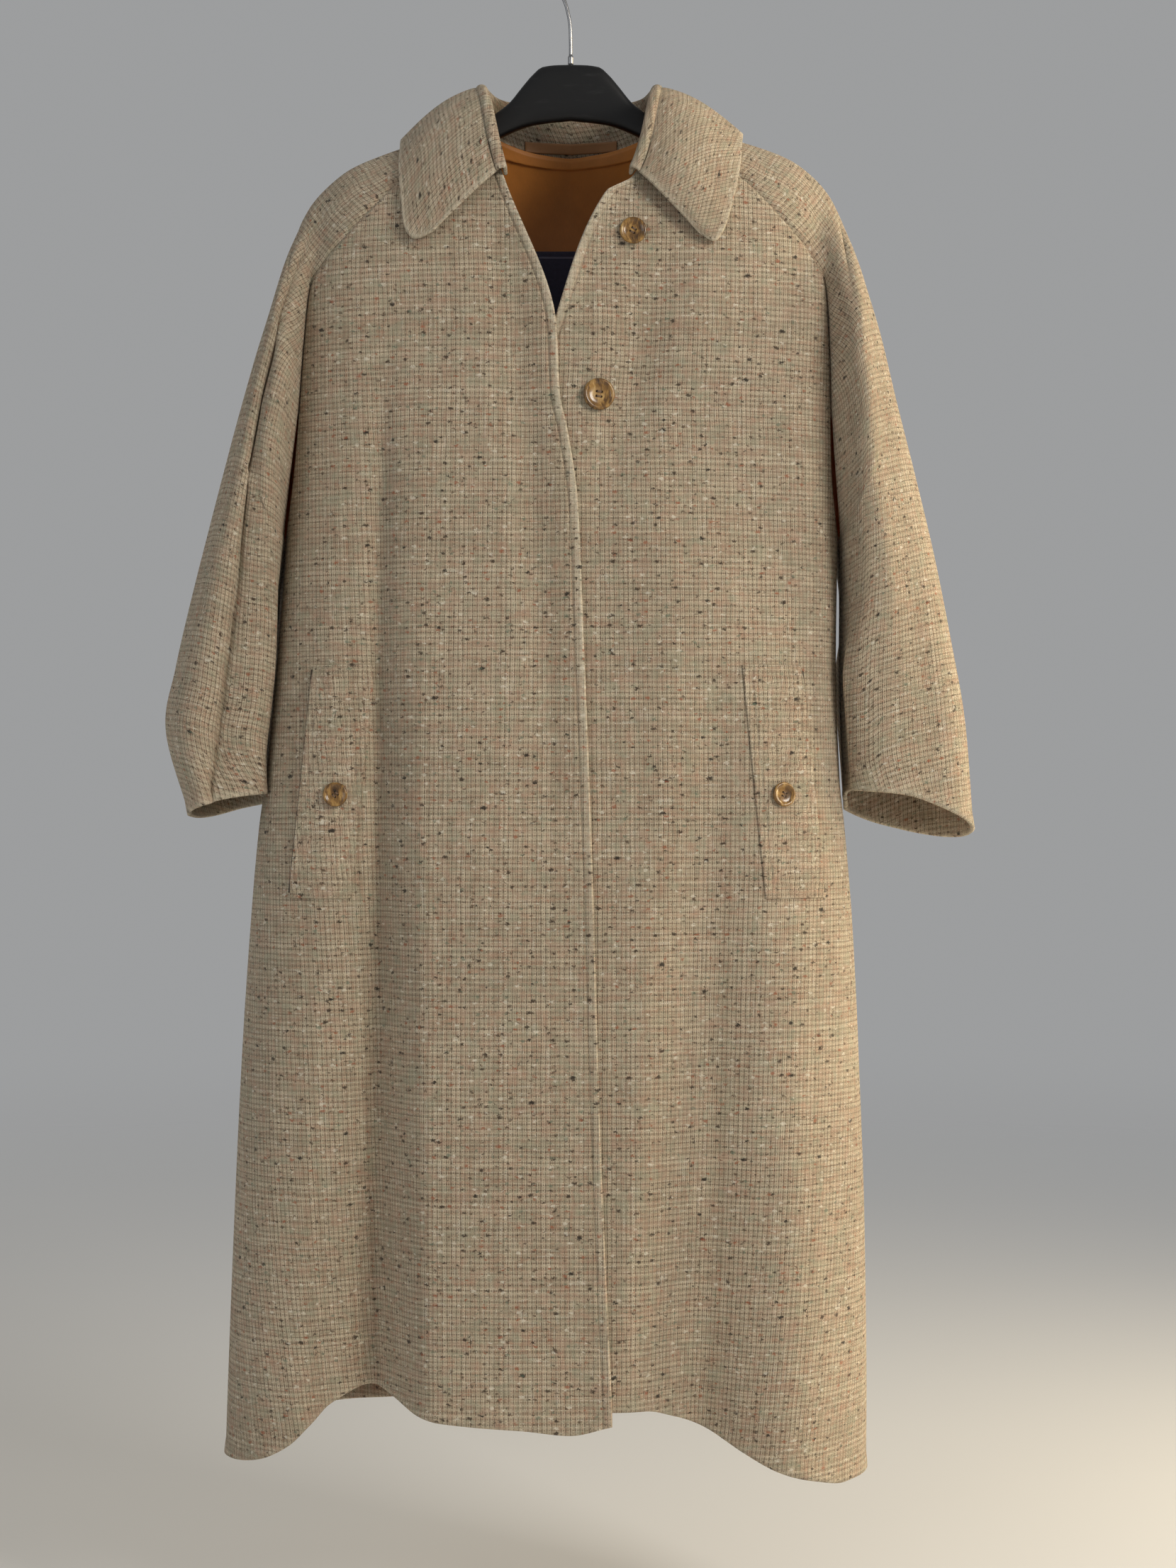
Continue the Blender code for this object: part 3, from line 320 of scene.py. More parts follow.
# Pocket welts: centre of each, its slant and its flat size
WELT_WIDE = 0.048
WELT_LONG = 0.190
WELT_SLANT = 0.100
WELT_LEFT_X = -0.1945
WELT_RIGHT_X = 0.1735
WELT_Z = -0.7025
WELT_COLUMNS = 33
WELT_ROWS = 81
WELT_WALL = 0.0012
WELT_RELIEF = 0.25
WELT_LIFT_SEWN = 0.0002
WELT_LIFT_OPEN = 0.0020
WELT_END_EASE = 0.016
WELT_OPEN_FROM = 0.1
WELT_OPEN_SOFT = 0.6
# Near-black strip beside each welt's opening: painted shadow of the pocket's opening
MOUTH_SHADOW_WIDE = 0.0046
MOUTH_SHADOW_SHORT = 0.004
MOUTH_SHADOW_WALL = 0.0003
MOUTH_SHADOW_LIFT = 0.0001
MOUTH_SHADOW_COLUMNS = 7
MOUTH_SHADOW_ROWS = 61
PROBE = 0.001

# Buttons: place on the front, diameter, the side that carries them and the turn of their holes
BUTTONS = {
    "button_top": {"x": 0.0515, "z": -0.253, "wide": 0.022, "side": "right", "turn": 0.5},
    "button_front": {"x": 0.0235, "z": -0.388, "wide": 0.026, "side": "right", "turn": 0.1},
    "button_pocket_right": {"x": -0.1913, "z": -0.713, "wide": 0.020, "side": "left", "turn": 0.8},
    "button_pocket_left": {"x": 0.1735, "z": -0.713, "wide": 0.020, "side": "right", "turn": 0.3},
}
BUTTON_PROFILE = {
    "radius": (0.0, 0.60, 0.84, 0.95, 1.0, 0.985, 0.93, 0.86, 0.78, 0.70, 0.60, 0.40, 0.20, 0.0),
    "height": (0.0, 0.0, 0.05, 0.30, 0.75, 1.15, 1.45, 1.52, 1.42, 1.15, 0.98, 0.92, 0.90, 0.90),
}
BUTTON_THICK = 0.24
BUTTON_SIDES = 64
BUTTON_CLEAR = 0.0004
HOLE_RADIUS = 0.085
HOLE_OUT = 0.21
HOLE_SIDES = 16
HOLE_REACH = (-1.0, 3.0)
BUTTON_SINK = 0.78
THREAD_UP = 0.98
THREAD_APART = 0.35
THREAD_SIDES = 8
SHARP_ANGLE = math.radians(40)
STITCH_PROFILE = {
    "along": (0.0, 0.16, 0.5, 0.84, 1.0),
    "wide": (0.30, 0.85, 1.0, 0.85, 0.30),
    "high": (-0.45, 0.0, 0.25, 0.0, -0.45),
}

# Neck trimmings inside the back
LINING_LAST_ROW = 8.0
LINING_MARGIN = 0.077
LINING_GAP = 0.0006
LABEL = {"top": -0.239, "wide": 0.080, "tall": 0.060, "columns": 41, "rows": 31, "gap": 0.0004,
         "wall": 0.0010}
LOOP = {"top": -0.1495, "wide": 0.080, "tall": 0.009, "columns": 61, "rows": 13, "gap": 0.0006,
        "wall": 0.0012}
STRIP_ROUND = 0.0004
STRIP_ROUND_WIDE = 0.0015
SMALLEST_SHEET = 0.012
LIP_UP = 0.0030
LIP_CLEAR = 0.0018
LIP_TOP_SHARE = 0.45
LIP_TOP_EASE = 0.003
LIP_DOWN = 0.0090
LIP_HIGH = 0.0026
LIP_STEP = 0.0010
LIP_ROWS = 20
LIP_FINE = 0.016
LIP_SOFT_COLUMNS = 14

# Hanger
HANGER_UNDER = 0.0025
HANGER_END_X = 0.1977
HANGER_ARM_TALL = 0.023
HANGER_THICK = 0.014
HANGER_ROUND = 0.62
HANGER_STATIONS = 181
HANGER_SIDES = 32
HANGER_BLEND_FROM = 0.075
HANGER_BLEND_WIDE = 0.016
HANGER_END_ROUND = 0.010
HUMP_TOP = {
    "x": (0.0, 0.012, 0.024, 0.032, 0.041, 0.052, 0.0665, 0.083),
    "z": (-0.0960, -0.0963, -0.0980, -0.1045, -0.1150, -0.1285, -0.1395, -0.1505),
}
HUMP_UNDER = {"x": (0.0, 0.030, 0.064, 0.083), "z": (-0.1430, -0.1465, -0.1600, -0.1715)}

# Hook: a round wire bent over the rail
WIRE = 0.0030
HOOK_RADIUS = 0.019
HOOK_STEM = {"x": (0.0, 0.0, -0.001, -0.006), "z": (-0.0954, -0.0755, -0.058, -0.040)}
HOOK_TIP_TURN = math.radians(205)
HOOK_TURN_START = math.radians(215)
HOOK_STEPS = 18
HOOK_SIDES = 20
HOOK_RINGS = 180
HOOK_TIP_RINGS = 3.0
HOOK_TIP_LEAST = 0.02
FERRULE_MORE = 0.55
FERRULE_RINGS = 8
FERRULE_SOFT = 2.0

# Tweed: yarn pitches and colours, tints where a noise runs high, pale edges (rubbed wear and painted
# highlight of the lit folded edges), and flecks in cells a metre
WARP_PITCH = 0.00095
WEFT_PITCH = 0.00111
DARK_EVERY = 4.0
UNDER_SHOWS = 0.26
YARN_SWAY = 1.6
CREAM_YARN = (0.680, 0.575, 0.415, 1.0)
TAN_YARN = (0.415, 0.325, 0.218, 1.0)
SLUB_LONG = 320.0
SLUB_DARK = 0.62
SLUB_LIGHT = 0.76
BLEND_ACROSS = 0.28
BLEND_LONG = 44.0
YARN_TINTS = (
    {"low": 0.51, "high": 0.65, "strength": 0.60, "colour": (0.440, 0.220, 0.135, 1.0)},
    {"low": 0.53, "high": 0.67, "strength": 0.50, "colour": (0.290, 0.300, 0.205, 1.0)},
    {"low": 0.58, "high": 0.70, "strength": 0.75, "colour": (0.760, 0.690, 0.560, 1.0)},
)
BROWN_YARN = (0.105, 0.066, 0.040, 1.0)
PATCH_SCALE = 75.0
PATCH_TINTS = (
    {"low": 0.50, "high": 0.66, "strength": 0.34, "colour": (0.500, 0.310, 0.215, 1.0)},
    {"low": 0.52, "high": 0.68, "strength": 0.32, "colour": (0.350, 0.365, 0.250, 1.0)},
)
WEAR_AND_HIGHLIGHT_NAME = "wear_and_highlight"
WEAR_AND_HIGHLIGHT_WIDE = 0.0036
WEAR_AND_HIGHLIGHT_WIDE_UNDER = 0.0062
WEAR_AND_HIGHLIGHT_SHARE = 0.62
WEAR_AND_HIGHLIGHT_DOWN = {"z": (-0.95, -0.62), "part": (0.30, 1.0)}
WEAR_AND_HIGHLIGHT_CUFF = 0.75
WEAR_AND_HIGHLIGHT_HEM = 0.30
WEAR_AND_HIGHLIGHT_YARN = (0.760, 0.680, 0.520, 1.0)
RAISED_NEPS = 100.0
NEP_LEAST = 0.35
NEPS = (
    {"cells": 46.0, "share": 0.34, "size": 0.070, "strength": 0.95, "colour": (0.022, 0.016, 0.012, 1.0)},
    {"cells": 96.0, "share": 0.60, "size": 0.115, "strength": 0.90, "colour": (0.046, 0.028, 0.017, 1.0)},
    {"cells": 175.0, "share": 0.50, "size": 0.160, "strength": 0.80, "colour": (0.085, 0.052, 0.030, 1.0)},
    {"cells": 125.0, "share": 0.28, "size": 0.140, "strength": 0.75, "colour": (0.360, 0.110, 0.050, 1.0)},
    {"cells": 140.0, "share": 0.20, "size": 0.150, "strength": 0.60, "colour": (0.130, 0.190, 0.130, 1.0)},
    {"cells": 130.0, "share": 0.42, "size": 0.150, "strength": 0.75, "colour": (0.800, 0.730, 0.590, 1.0)},
)

# Camera and stage
CAMERA_PLACE = (0.0147, -2.2, -0.7044)
CAMERA_LENS = 59.67
CAMERA_SENSOR = 36.0
FLOOR_Z = -1.43
FLOOR_RADIUS = 14.0
SKY_COLOUR = (0.80, 0.81, 0.82, 1.0)
SKY_STRENGTH = 0.42
LIGHTS = (
    {"name": "key", "place": (1.9, -1.9, 0.5), "aim": (0.0, 0.0, -0.65), "size": (1.0, 1.0), "power": 46.0,
     "colour": (1.0, 0.94, 0.85)},
    {"name": "fill", "place": (-2.2, -2.2, 0.0), "aim": (0.0, 0.0, -0.7), "size": (1.8, 1.8), "power": 12.0,
     "colour": (0.94, 0.97, 1.0)},
    {"name": "side", "place": (1.7, 0.25, -0.35), "aim": (0.2, 0.0, -0.65), "size": (0.7, 1.6), "power": 30.0,
     "colour": (1.0, 0.82, 0.54)},
)


def smooth(known_x, known_y, x):
    """Monotone cubic through the known points, held level beyond them."""
    xs = np.asarray(known_x, float)
    ys = np.asarray(known_y, float)
    step = np.diff(xs)
    rise = np.diff(ys) / step
    slope = np.zeros_like(ys)
    both = rise[:-1] * rise[1:]
    total = rise[:-1] + rise[1:]
    steady = both > 0.0
    slope[1:-1][steady] = 2.0 * both[steady] / total[steady]
    slope[0] = rise[0]
    slope[-1] = rise[-1]
    x = np.clip(np.asarray(x, float), xs[0], xs[-1])
    i = np.clip(np.searchsorted(xs, x) - 1, 0, len(xs) - 2)
    t = (x - xs[i]) / step[i]
    near = (1.0 + 2.0 * t) * (1.0 - t) ** 2 * ys[i] + t * (1.0 - t) ** 2 * step[i] * slope[i]
    far = t * t * (3.0 - 2.0 * t) * ys[i + 1] + t * t * (t - 1.0) * step[i] * slope[i + 1]
    return near + far


def through(points, places):
    """Rounded curve through rows of numbers, read at places counted in rows."""
    points = np.asarray(points, float)
    last = len(points) - 1
    out = []
    for place in places:
        i = min(int(place), last - 1)
        t = place - i
        p1, p2 = points[i], points[i + 1]
        p0 = points[i - 1] if i > 0 else 2.0 * p1 - p2
        p3 = points[i + 2] if i + 2 <= last else 2.0 * p2 - p1
        a = 2.0 * p1
        b = (p2 - p0) * t
        c = (2.0 * p0 - 5.0 * p1 + 4.0 * p2 - p3) * t * t
        d = (3.0 * p1 - p0 - 3.0 * p2 + p3) * t ** 3
        out.append(0.5 * (a + b + c + d))
    return np.array(out)


def ease(t):
    """Soft step from 0 to 1."""
    t = np.clip(t, 0.0, 1.0)
    return t * t * (3.0 - 2.0 * t)


def unit(vectors):
    return vectors / np.linalg.norm(vectors, axis=-1, keepdims=True)


def along_line(points):
    """Distance run along a line of points."""
    lengths = np.linalg.norm(np.diff(points, axis=0), axis=1)
    return np.concatenate(([0.0], np.cumsum(lengths)))


def spaced(points, wanted):
    """Points of a line at the wanted distances along it."""
    run = along_line(points)
    return np.column_stack([np.interp(wanted, run, points[:, k]) for k in range(3)])


def stops(length, count, first, last):
    """Distances along a line, with close steps at its ends."""
    head = first * min(1.0, STEPS_SHARE * length / first[-1])
    tail = length - last[::-1] * min(1.0, STEPS_SHARE * length / last[-1])
    middle = np.linspace(head[-1], tail[0], count - len(head) - len(tail) + 2)
    return np.concatenate((head, middle[1:-1], tail))


def body(column, z):
    return smooth(BODY["z"], BODY[column], z)


def ridge_z(x):
    """Height of the shoulder ridge over x."""
    x = np.asarray(x, float)
    left = smooth(np.negative(OUTER_LEFT["x"][:RIDGE_ROWS]), OUTER_LEFT["z"][:RIDGE_ROWS], -x)
    right = smooth(OUTER_RIGHT["x"][:RIDGE_ROWS], OUTER_RIGHT["z"][:RIDGE_ROWS], x)
    neck = RIDGE_NECK_Z + RIDGE_NECK_SLOPE * (RIDGE_NECK_X - np.abs(x))
    shoulder = np.where(x < 0.0, left, right)
    return np.where(np.abs(x) < RIDGE_NECK_X, neck, shoulder)


def fold_depth(folds, x, z):
    total = np.zeros_like(np.asarray(x, float))
    for fold in folds:
        part = np.clip((fold["start"] - z) / (fold["start"] - HEM_LEVEL), 0.0, FOLD_PAST_HEM)
        middle = fold["x_top"] + (fold["x_hem"] - fold["x_top"]) * part
        wide = fold["w_top"] + (fold["w_hem"] - fold["w_top"]) * part
        reach = np.clip((x - middle) / wide, -1.0, 1.0)
        total = total + fold["depth"] * part ** FOLD_GROWTH * 0.5 * (1.0 + np.cos(math.pi * reach))
    return total


def crease_depth(creases, x, z):
    """Depth of the small creases and of the cloth's unevenness at x and z."""
    total = np.zeros_like(np.asarray(x, float))
    for crease in creases:
        middle = smooth(crease["z"], crease["x"], z)
        wide = smooth(crease["z"], crease["wide"], z)
        deep = smooth(crease["z"], crease["depth"], z)
        total = total + deep * np.exp(-((x - middle) / wide) ** 2)
    for wave in RIPPLES:
        total = total + wave["height"] * np.sin(wave["across"] * x + wave["down"] * z + wave["shift"])
    return total


def side_round(x, z):
    """1 over the middle of the body and 0 at its side seams."""
    left = body("left", z)
    right = body("right", z)
    across = np.clip((2.0 * x - left - right) / (right - left), -1.0, 1.0)
    return (1.0 - np.abs(across) ** BODY_POWER) ** (1.0 / BODY_POWER)


def shoulder_round(x, z):
    """0 on the shoulder ridge, growing to 1 a hand's width below it."""
    part = np.clip((ridge_z(x) - z) / SHOULDER_DROP, 0.0, 1.0)
    return np.sqrt(1.0 - (1.0 - part) ** 2)


def front_y(x, z):
    x = np.asarray(x, float)
    high = shoulder_round(x, z)
    inward = fold_depth(FOLDS_FRONT, x, z) + high * crease_depth(CREASES_FRONT, x, z)
    return -side_round(x, z) * (body("front", z) * high - inward)


def back_y(x, z):
    x = np.asarray(x, float)
    high = shoulder_round(x, z)
    inward = fold_depth(FOLDS_BACK, x, z) + high * crease_depth(CREASES_BACK, x, z)
    return side_round(x, z) * (body("back", z) * high - inward)


def lap(side, x):
    """The left front's edge lies over the right one's."""
    if side == "left":
        return -LAP * ease((x - LAP_LEFT_X + LAP_SOFT) / LAP_SOFT)
    return LAP * ease((LAP_RIGHT_X + LAP_SOFT - x) / LAP_SOFT)


def hem_reach(z_row, hem_z):
    """Height of a level row once the hem below it is drawn to its own height."""
    if z_row >= HEM_START:
        return np.full_like(hem_z, z_row)
    part = (z_row - HEM_START) / (HEM_LEVEL - HEM_START)
    return HEM_START + part * (hem_z - HEM_START)


raglan_places = np.linspace(0.0, len(RAGLAN_LEFT["x"]) - 1, TOP_ROWS)
below_levels = UNDERARM_Z + (HEM_LEVEL - UNDERARM_Z) * np.linspace(0.0, 1.0, BELOW_ROWS + 1)[1:]


def raglan_line(side):
    table = RAGLAN_LEFT if side == "left" else RAGLAN_RIGHT
    return through(np.column_stack((table["x"], table["z"])), raglan_places)


def front_grid(side):
    """Rows of the front from the seam to the front edge, and from the neck to the hem."""
    edge = EDGE_LEFT if side == "left" else EDGE_RIGHT
    hem = HEM_LEFT_FRONT if side == "left" else HEM_RIGHT_FRONT
    seam = raglan_line(side)
    levels = [(x, z) for x, z in seam] + [(float(body(side, z)), z) for z in below_levels]
    rows = []
    for start, z_row in levels:
        edge_x = float(smooth(edge["z"], edge["x"], z_row))
        x = start + (edge_x - start) * np.linspace(0.0, 1.0, DENSE) ** CROWD_TO_SEAM
        z = hem_reach(z_row, smooth(hem["x"], hem["z"], x))
        roll = 0.0
        if side == "right":
            roll = smooth(VEE_ROLL["z"], VEE_ROLL["lift"], z_row) * ease(1.0 - (x - edge_x) / VEE_ROLL_WIDE)
        line = np.column_stack((x, front_y(x, z_row) + lap(side, x) - roll, z))
        length = along_line(line)[-1]
        rows.append(spaced(line, stops(length, FRONT_COLUMNS, SEAM_STEPS, EDGE_STEPS)))
    return np.array(rows)


def back_grid():
    """Rows of the back from the viewer's left seam to the right one."""
    part = np.linspace(-1.0, 1.0, DENSE)
    spread = 0.5 + 0.5 * np.sign(part) * (1.0 - (1.0 - np.abs(part)) ** CROWD_TO_SEAM)
    left_seam, right_seam = raglan_line("left"), raglan_line("right")
    lines = []
    for i, (start, end) in enumerate(zip(left_seam, right_seam)):
        x = start[0] + (end[0] - start[0]) * spread
        z = start[1] + (end[1] - start[1]) * spread
        dip = NECK_DIP * (1.0 - i / (TOP_ROWS - 1)) ** 2
        z = z - dip * (1.0 - (2.0 * spread - 1.0) ** 2)
        lines.append(np.column_stack((x, back_y(x, z), z)))
    for z_row in below_levels:
        left, right = float(body("left", z_row)), float(body("right", z_row))
        x = left + (right - left) * spread
        z = hem_reach(z_row, smooth(HEM_BACK["x"], HEM_BACK["z"], x))
        lines.append(np.column_stack((x, back_y(x, z_row), z)))
    rows = []
    for line in lines:
        length = along_line(line)[-1]
        rows.append(spaced(line, stops(length, BACK_COLUMNS, SEAM_STEPS, SEAM_STEPS)))
    return np.array(rows)


def arc(start, start_handle, end_handle, end, t):
    t = t[:, None]
    first = start * (1.0 - t) ** 3 + 3.0 * start_handle * t * (1.0 - t) ** 2
    return first + 3.0 * end_handle * t * t * (1.0 - t) + end * t ** 3


def sleeve_half(side, row, seam_spot, top_spot, face):
    """Half a sleeve row, from the raglan or underarm seam to the outer line."""
    bulges = BULGE_LEFT if side == "left" else BULGE_RIGHT
    out = -1.0 if side == "left" else 1.0
    away = -1.0 if face == "front" else 1.0
    depth = front_y if face == "front" else back_y
    last = len(RAGLAN_LEFT["x"]) - 1
    top = np.array((top_spot[0], 0.0, top_spot[1]))
    clear = float(np.interp(row, UNDERARM_CLEAR["row"], UNDERARM_CLEAR["gap"]))
    if row <= last:
        x, z = seam_spot
        seam = np.array((x + out * clear, float(depth(x, z)), z))
    else:
        z = float(np.interp(row - last, range(len(INNER_Z)), INNER_Z))
        seam = np.array((float(body(side, z)) + out * clear, 0.0, z))
    t = np.linspace(0.0, 1.0, DENSE // 2)
    saddle = top + (seam - top) * ((1.0 - t) ** 2)[:, None]
    saddle[:, 1] = depth(saddle[:, 0], saddle[:, 2])
    part = float(ease((row - SHOULDER_ROWS) / SLEEVE_ROW_EASE))
    line = saddle
    if part > 0.0:
        bulge = float(np.interp(row - SHOULDER_ROWS - 1, range(len(bulges)), bulges)) / ARC_REACH
        splay = SEAM_SPLAY * float(np.clip((last - row) / SPLAY_ROWS, 0.0, 1.0)) * (top[0] - seam[0])
        soft = seam.copy()
        if row > UNDERARM_SOFT["row"][0]:
            table = RAGLAN_LEFT if side == "left" else RAGLAN_RIGHT
            spot = through(np.column_stack((table["x"], table["z"])), UNDERARM_SOFT["row"][:1])[0]
            soft[1] = float(depth(*spot)) * float(smooth(UNDERARM_SOFT["row"], UNDERARM_SOFT["part"], row))
        seam_handle = soft + np.array((splay, away * (bulge - abs(soft[1])), 0.0))
        shares = np.linspace(0.0, 1.0, DENSE // 2)
        ring = arc(soft, seam_handle, top + np.array((0.0, away * bulge, 0.0)), top, t)
        ring_run = along_line(ring)
        ring = ring + (seam - soft) * (1.0 - ease(ring_run / ring_run[-1] / UNDERARM_SHARE))[:, None]
        even_saddle = spaced(saddle, shares * along_line(saddle)[-1])
        even_ring = spaced(ring, shares * along_line(ring)[-1])
        line = even_saddle * (1.0 - part) + even_ring * part
    tuck = TUCK_IN * float(ease((row - TUCK_START[side]) / TUCK_ROWS[side]))
    run = along_line(line)
    line[:, 0] -= out * tuck * smooth(TUCK["share"], TUCK["part"], run / run[-1])
    return line


def crease_share(line):
    """Share of a sleeve row's front half at which the sharp crease crosses it."""
    run = along_line(line)
    beyond = line[:, 0] < smooth(SHARP_LINE["z"], SHARP_LINE["x"], line[:, 2])
    return float(run[np.argmax(beyond)] / run[-1])


def sleeve_grid(side):
    """Rows of a sleeve from its front seam over the outer line to its back seam, and its pressed crease."""
    outer = OUTER_LEFT if side == "left" else OUTER_RIGHT
    fold = SLEEVE_FOLD_LEFT if side == "left" else SLEEVE_FOLD_RIGHT
    tilt = CUFF_TILT_LEFT if side == "left" else CUFF_TILT_RIGHT
    creases = CREASES_SLEEVE_LEFT if side == "left" else CREASES_SLEEVE_RIGHT
    last = len(outer["x"]) - 1
    first_below = len(RAGLAN_LEFT["x"]) - 1
    below = first_below + (last - first_below) * np.linspace(0.0, 1.0, SLEEVE_BELOW_ROWS + 1)[1:]
    places = np.concatenate((raglan_places, below))
    tops = through(np.column_stack((outer["x"], outer["z"])), places)
    seams = raglan_line(side)
    halves = []
    for k, row in enumerate(places):
        seam_spot = seams[min(k, TOP_ROWS - 1)]
        halves.append([sleeve_half(side, row, seam_spot, tops[k], face) for face in ("front", "back")])
    underarm = next(front for row, (front, back_half) in zip(places, halves) if row > SHARP_ROW)
    from_top = along_line(underarm)[-1] * (1.0 - crease_share(underarm))
    rows = []
    for row, (front, back_half) in zip(places, halves):
        length = along_line(front)[-1]
        back_length = along_line(back_half)[-1]
        crease_at = length * PLAIN_SHARE[side]
        if side == "left":
            crease_at = length * crease_share(front) if row > SHARP_ROW else max(crease_at, length - from_top)
        strip_stops = stops(crease_at, STRIP_COLUMNS, SEAM_STEPS, CREASE_STEPS)
        rest_stops = crease_at + stops(length - crease_at, REST_COLUMNS, CREASE_STEPS, SEAM_STEPS)
        first = spaced(front, np.concatenate((strip_stops, rest_stops[1:])))
        second = spaced(back_half, stops(back_length, SLEEVE_COLUMNS, SEAM_STEPS, SEAM_STEPS))
        rows.append(np.vstack((first, second[-2::-1])))
    grid = np.array(rows)
    run = np.cumsum(np.linalg.norm(np.diff(grid, axis=1), axis=2), axis=1)
    around = np.concatenate((np.zeros((len(places), 1)), run), axis=1) / run[:, -1:]
    reach = np.clip((around - fold["around"]) / fold["width"], -1.0, 1.0)
    trough = fold["depth"] * 0.5 * (1.0 + np.cos(math.pi * reach))
    grid[:, :, 1] += trough * ease((places - SHOULDER_ROWS) / SLEEVE_ROW_EASE)[:, None]
    turn = np.sin(2.0 * math.pi * around)
    grid[:, :, 2] += tilt * turn * ease((places - last + CUFF_ROWS) / CUFF_ROWS)[:, None]
    outward = grid_normals(grid, side != "left")
    depth = np.zeros_like(around)
    for crease in creases:
        middle = smooth(crease["row"], crease["around"], places)[:, None]
        wide = smooth(crease["row"], crease["wide"], places)[:, None]
        deep = smooth(crease["row"], crease["depth"], places)[:, None]
        held = ((places >= crease["row"][0]) & (places <= crease["row"][-1]))[:, None]
        depth += held * deep * np.exp(-((around - middle) / wide) ** 2)
    inner = ease(around / SEAM_CALM) * ease((1.0 - around) / SEAM_CALM)
    depth = depth * inner
    thinned = np.zeros_like(around)
    if side == "left":
        from_crease = (around - around[:, STRIP_COLUMNS - 1:STRIP_COLUMNS]) * run[:, -1:]
        away = np.sqrt(from_crease ** 2 + SHARP_ROUND ** 2) / SHARP_WIDE
        sharp = smooth(SHARP_FADE["row"], SHARP_FADE["depth"], places)[:, None]
        depth += sharp * np.exp(-away)
        strip_part = np.clip(around / around[:, STRIP_COLUMNS - 1:STRIP_COLUMNS], 0.0, 1.0)
        depth -= STRIP_BULGE * sharp / sharp.max() * np.sin(math.pi * strip_part) ** 2
        thinned = -SHARP_THIN * sharp / sharp.max() * np.exp(-(from_crease / SHARP_THIN_WIDE) ** 2)
    return grid - outward * depth[:, :, None], thinned


def collar_column(seam, fold, edge, along, leaf_parts, droop):
    """One line across the collar: up the stand, over the fold and down the leaf."""
    up = fold - seam
    up = unit(up - along * np.dot(up, along))
    outward = np.cross(along, up)
    if np.dot(outward, edge - fold) < 0.0:
        outward = -outward
    inner = fold - FOLD_RADIUS * outward
    outer = fold + FOLD_RADIUS * outward
    points = [seam + (inner - seam) * k / STAND_STEPS for k in range(STAND_STEPS + 1)]
    for k in range(1, FOLD_STEPS + 1):
        turn = math.pi * k / (FOLD_STEPS + 1)
        points.append(fold - FOLD_RADIUS * math.cos(turn) * outward + FOLD_RADIUS * math.sin(turn) * up)
    across = unit(np.cross(along, edge - outer))
    if np.dot(across, up) < 0.0:
        across = -across
    for part in leaf_parts:
        lift = LEAF_BULGE * math.sin(math.pi * part ** LEAF_SKEW) + droop * part ** 3
        points.append(outer + (edge - outer) * part + across * lift)
    return np.array(points)


def collar_half(table, curl):
    """Columns of half the collar from its front end to the centre back."""
    rows = []
    for k in range(len(table["seam_x"])):
        seat = front_y if k < SIDE_ROW else back_y
        lift = -LEAF_LIFT if k < SIDE_ROW else LEAF_LIFT
        seam_x, seam_z = table["seam_x"][k], table["seam_z"][k]
        edge_x, edge_z = table["edge_x"][k], table["edge_z"][k]
        seam_y = float(seat(seam_x, seam_z))
        edge_y = float(seat(edge_x, edge_z)) + lift
        if k == SIDE_ROW:
            seam_y = 0.0
            edge_y = 0.0
        fold = (table["fold_x"][k], table["fold_y"][k], table["fold_z"][k])
        rows.append((seam_x, seam_y, seam_z + STAND_LIFT) + fold + (edge_x, edge_y, edge_z))
    places = (len(rows) - 1) * np.linspace(0.0, 1.0, COLLAR_HALF) ** COLLAR_END_SKEW
    lines = through(rows, places)
    along = unit(np.gradient(lines[:, 3:6], axis=0))
    flat = np.linspace(0.0, LEAF_FLAT, LEAF_FLAT_ROWS)
    leaf = np.concatenate((flat, np.linspace(LEAF_FLAT, 1.0, LEAF_EDGE_ROWS)[1:]))
    columns = []
    for place, line, way in zip(places, lines, along):
        droop = curl * float(1.0 - ease(place / CURL_ROWS))
        columns.append(collar_column(line[0:3], line[3:6], line[6:9], way, leaf, droop))
    return columns


def collar_grid():
    left = collar_half(COLLAR_LEFT, CURL_LEFT)
    right = collar_half(COLLAR_RIGHT, CURL_RIGHT)
    return np.array(left + right[-2::-1])


def directions(grid, axis):
    """Direction of the grid's lines at each point: midway between the steps on either side."""
    steps = unit(np.diff(grid, axis=axis))
    first = np.take(steps, [0], axis=axis)
    last = np.take(steps, [-1], axis=axis)
    before = np.concatenate((first, steps), axis=axis)
    after = np.concatenate((steps, last), axis=axis)
    return unit(before + after)


def grid_normals(grid, flip):
    normals = unit(np.cross(directions(grid, 1), directions(grid, 0)))
    return -normals if flip else normals


def share(first, second):
    """One direction for two edges that are sewn together."""
    both = unit(first + second)
    first[...] = both
    second[...] = both


def draw_back(grid, column, gap):
    """Shorten each row by half a seam gap at one end."""
    inside = grid[:, 1] if column == 0 else grid[:, -2]
    grid[:, column] += unit(inside - grid[:, column]) * gap * 0.5


def run_from(grid, axis, end):
    """Distance of each point from one end of its line in the grid."""
    lengths = np.linalg.norm(np.diff(grid, axis=axis), axis=2)
    first = np.zeros_like(np.take(lengths, [0], axis=axis))
    if end == "first":
        return np.concatenate((first, np.cumsum(lengths, axis=axis)), axis=axis)
    turned = np.flip(np.cumsum(np.flip(lengths, axis=axis), axis=axis), axis=axis)
    return np.concatenate((turned, first), axis=axis)


def from_both(grid, axis):
    """Distance of each point from the nearer end of its line in the grid."""
    return np.minimum(run_from(grid, axis, "first"), run_from(grid, axis, "last"))


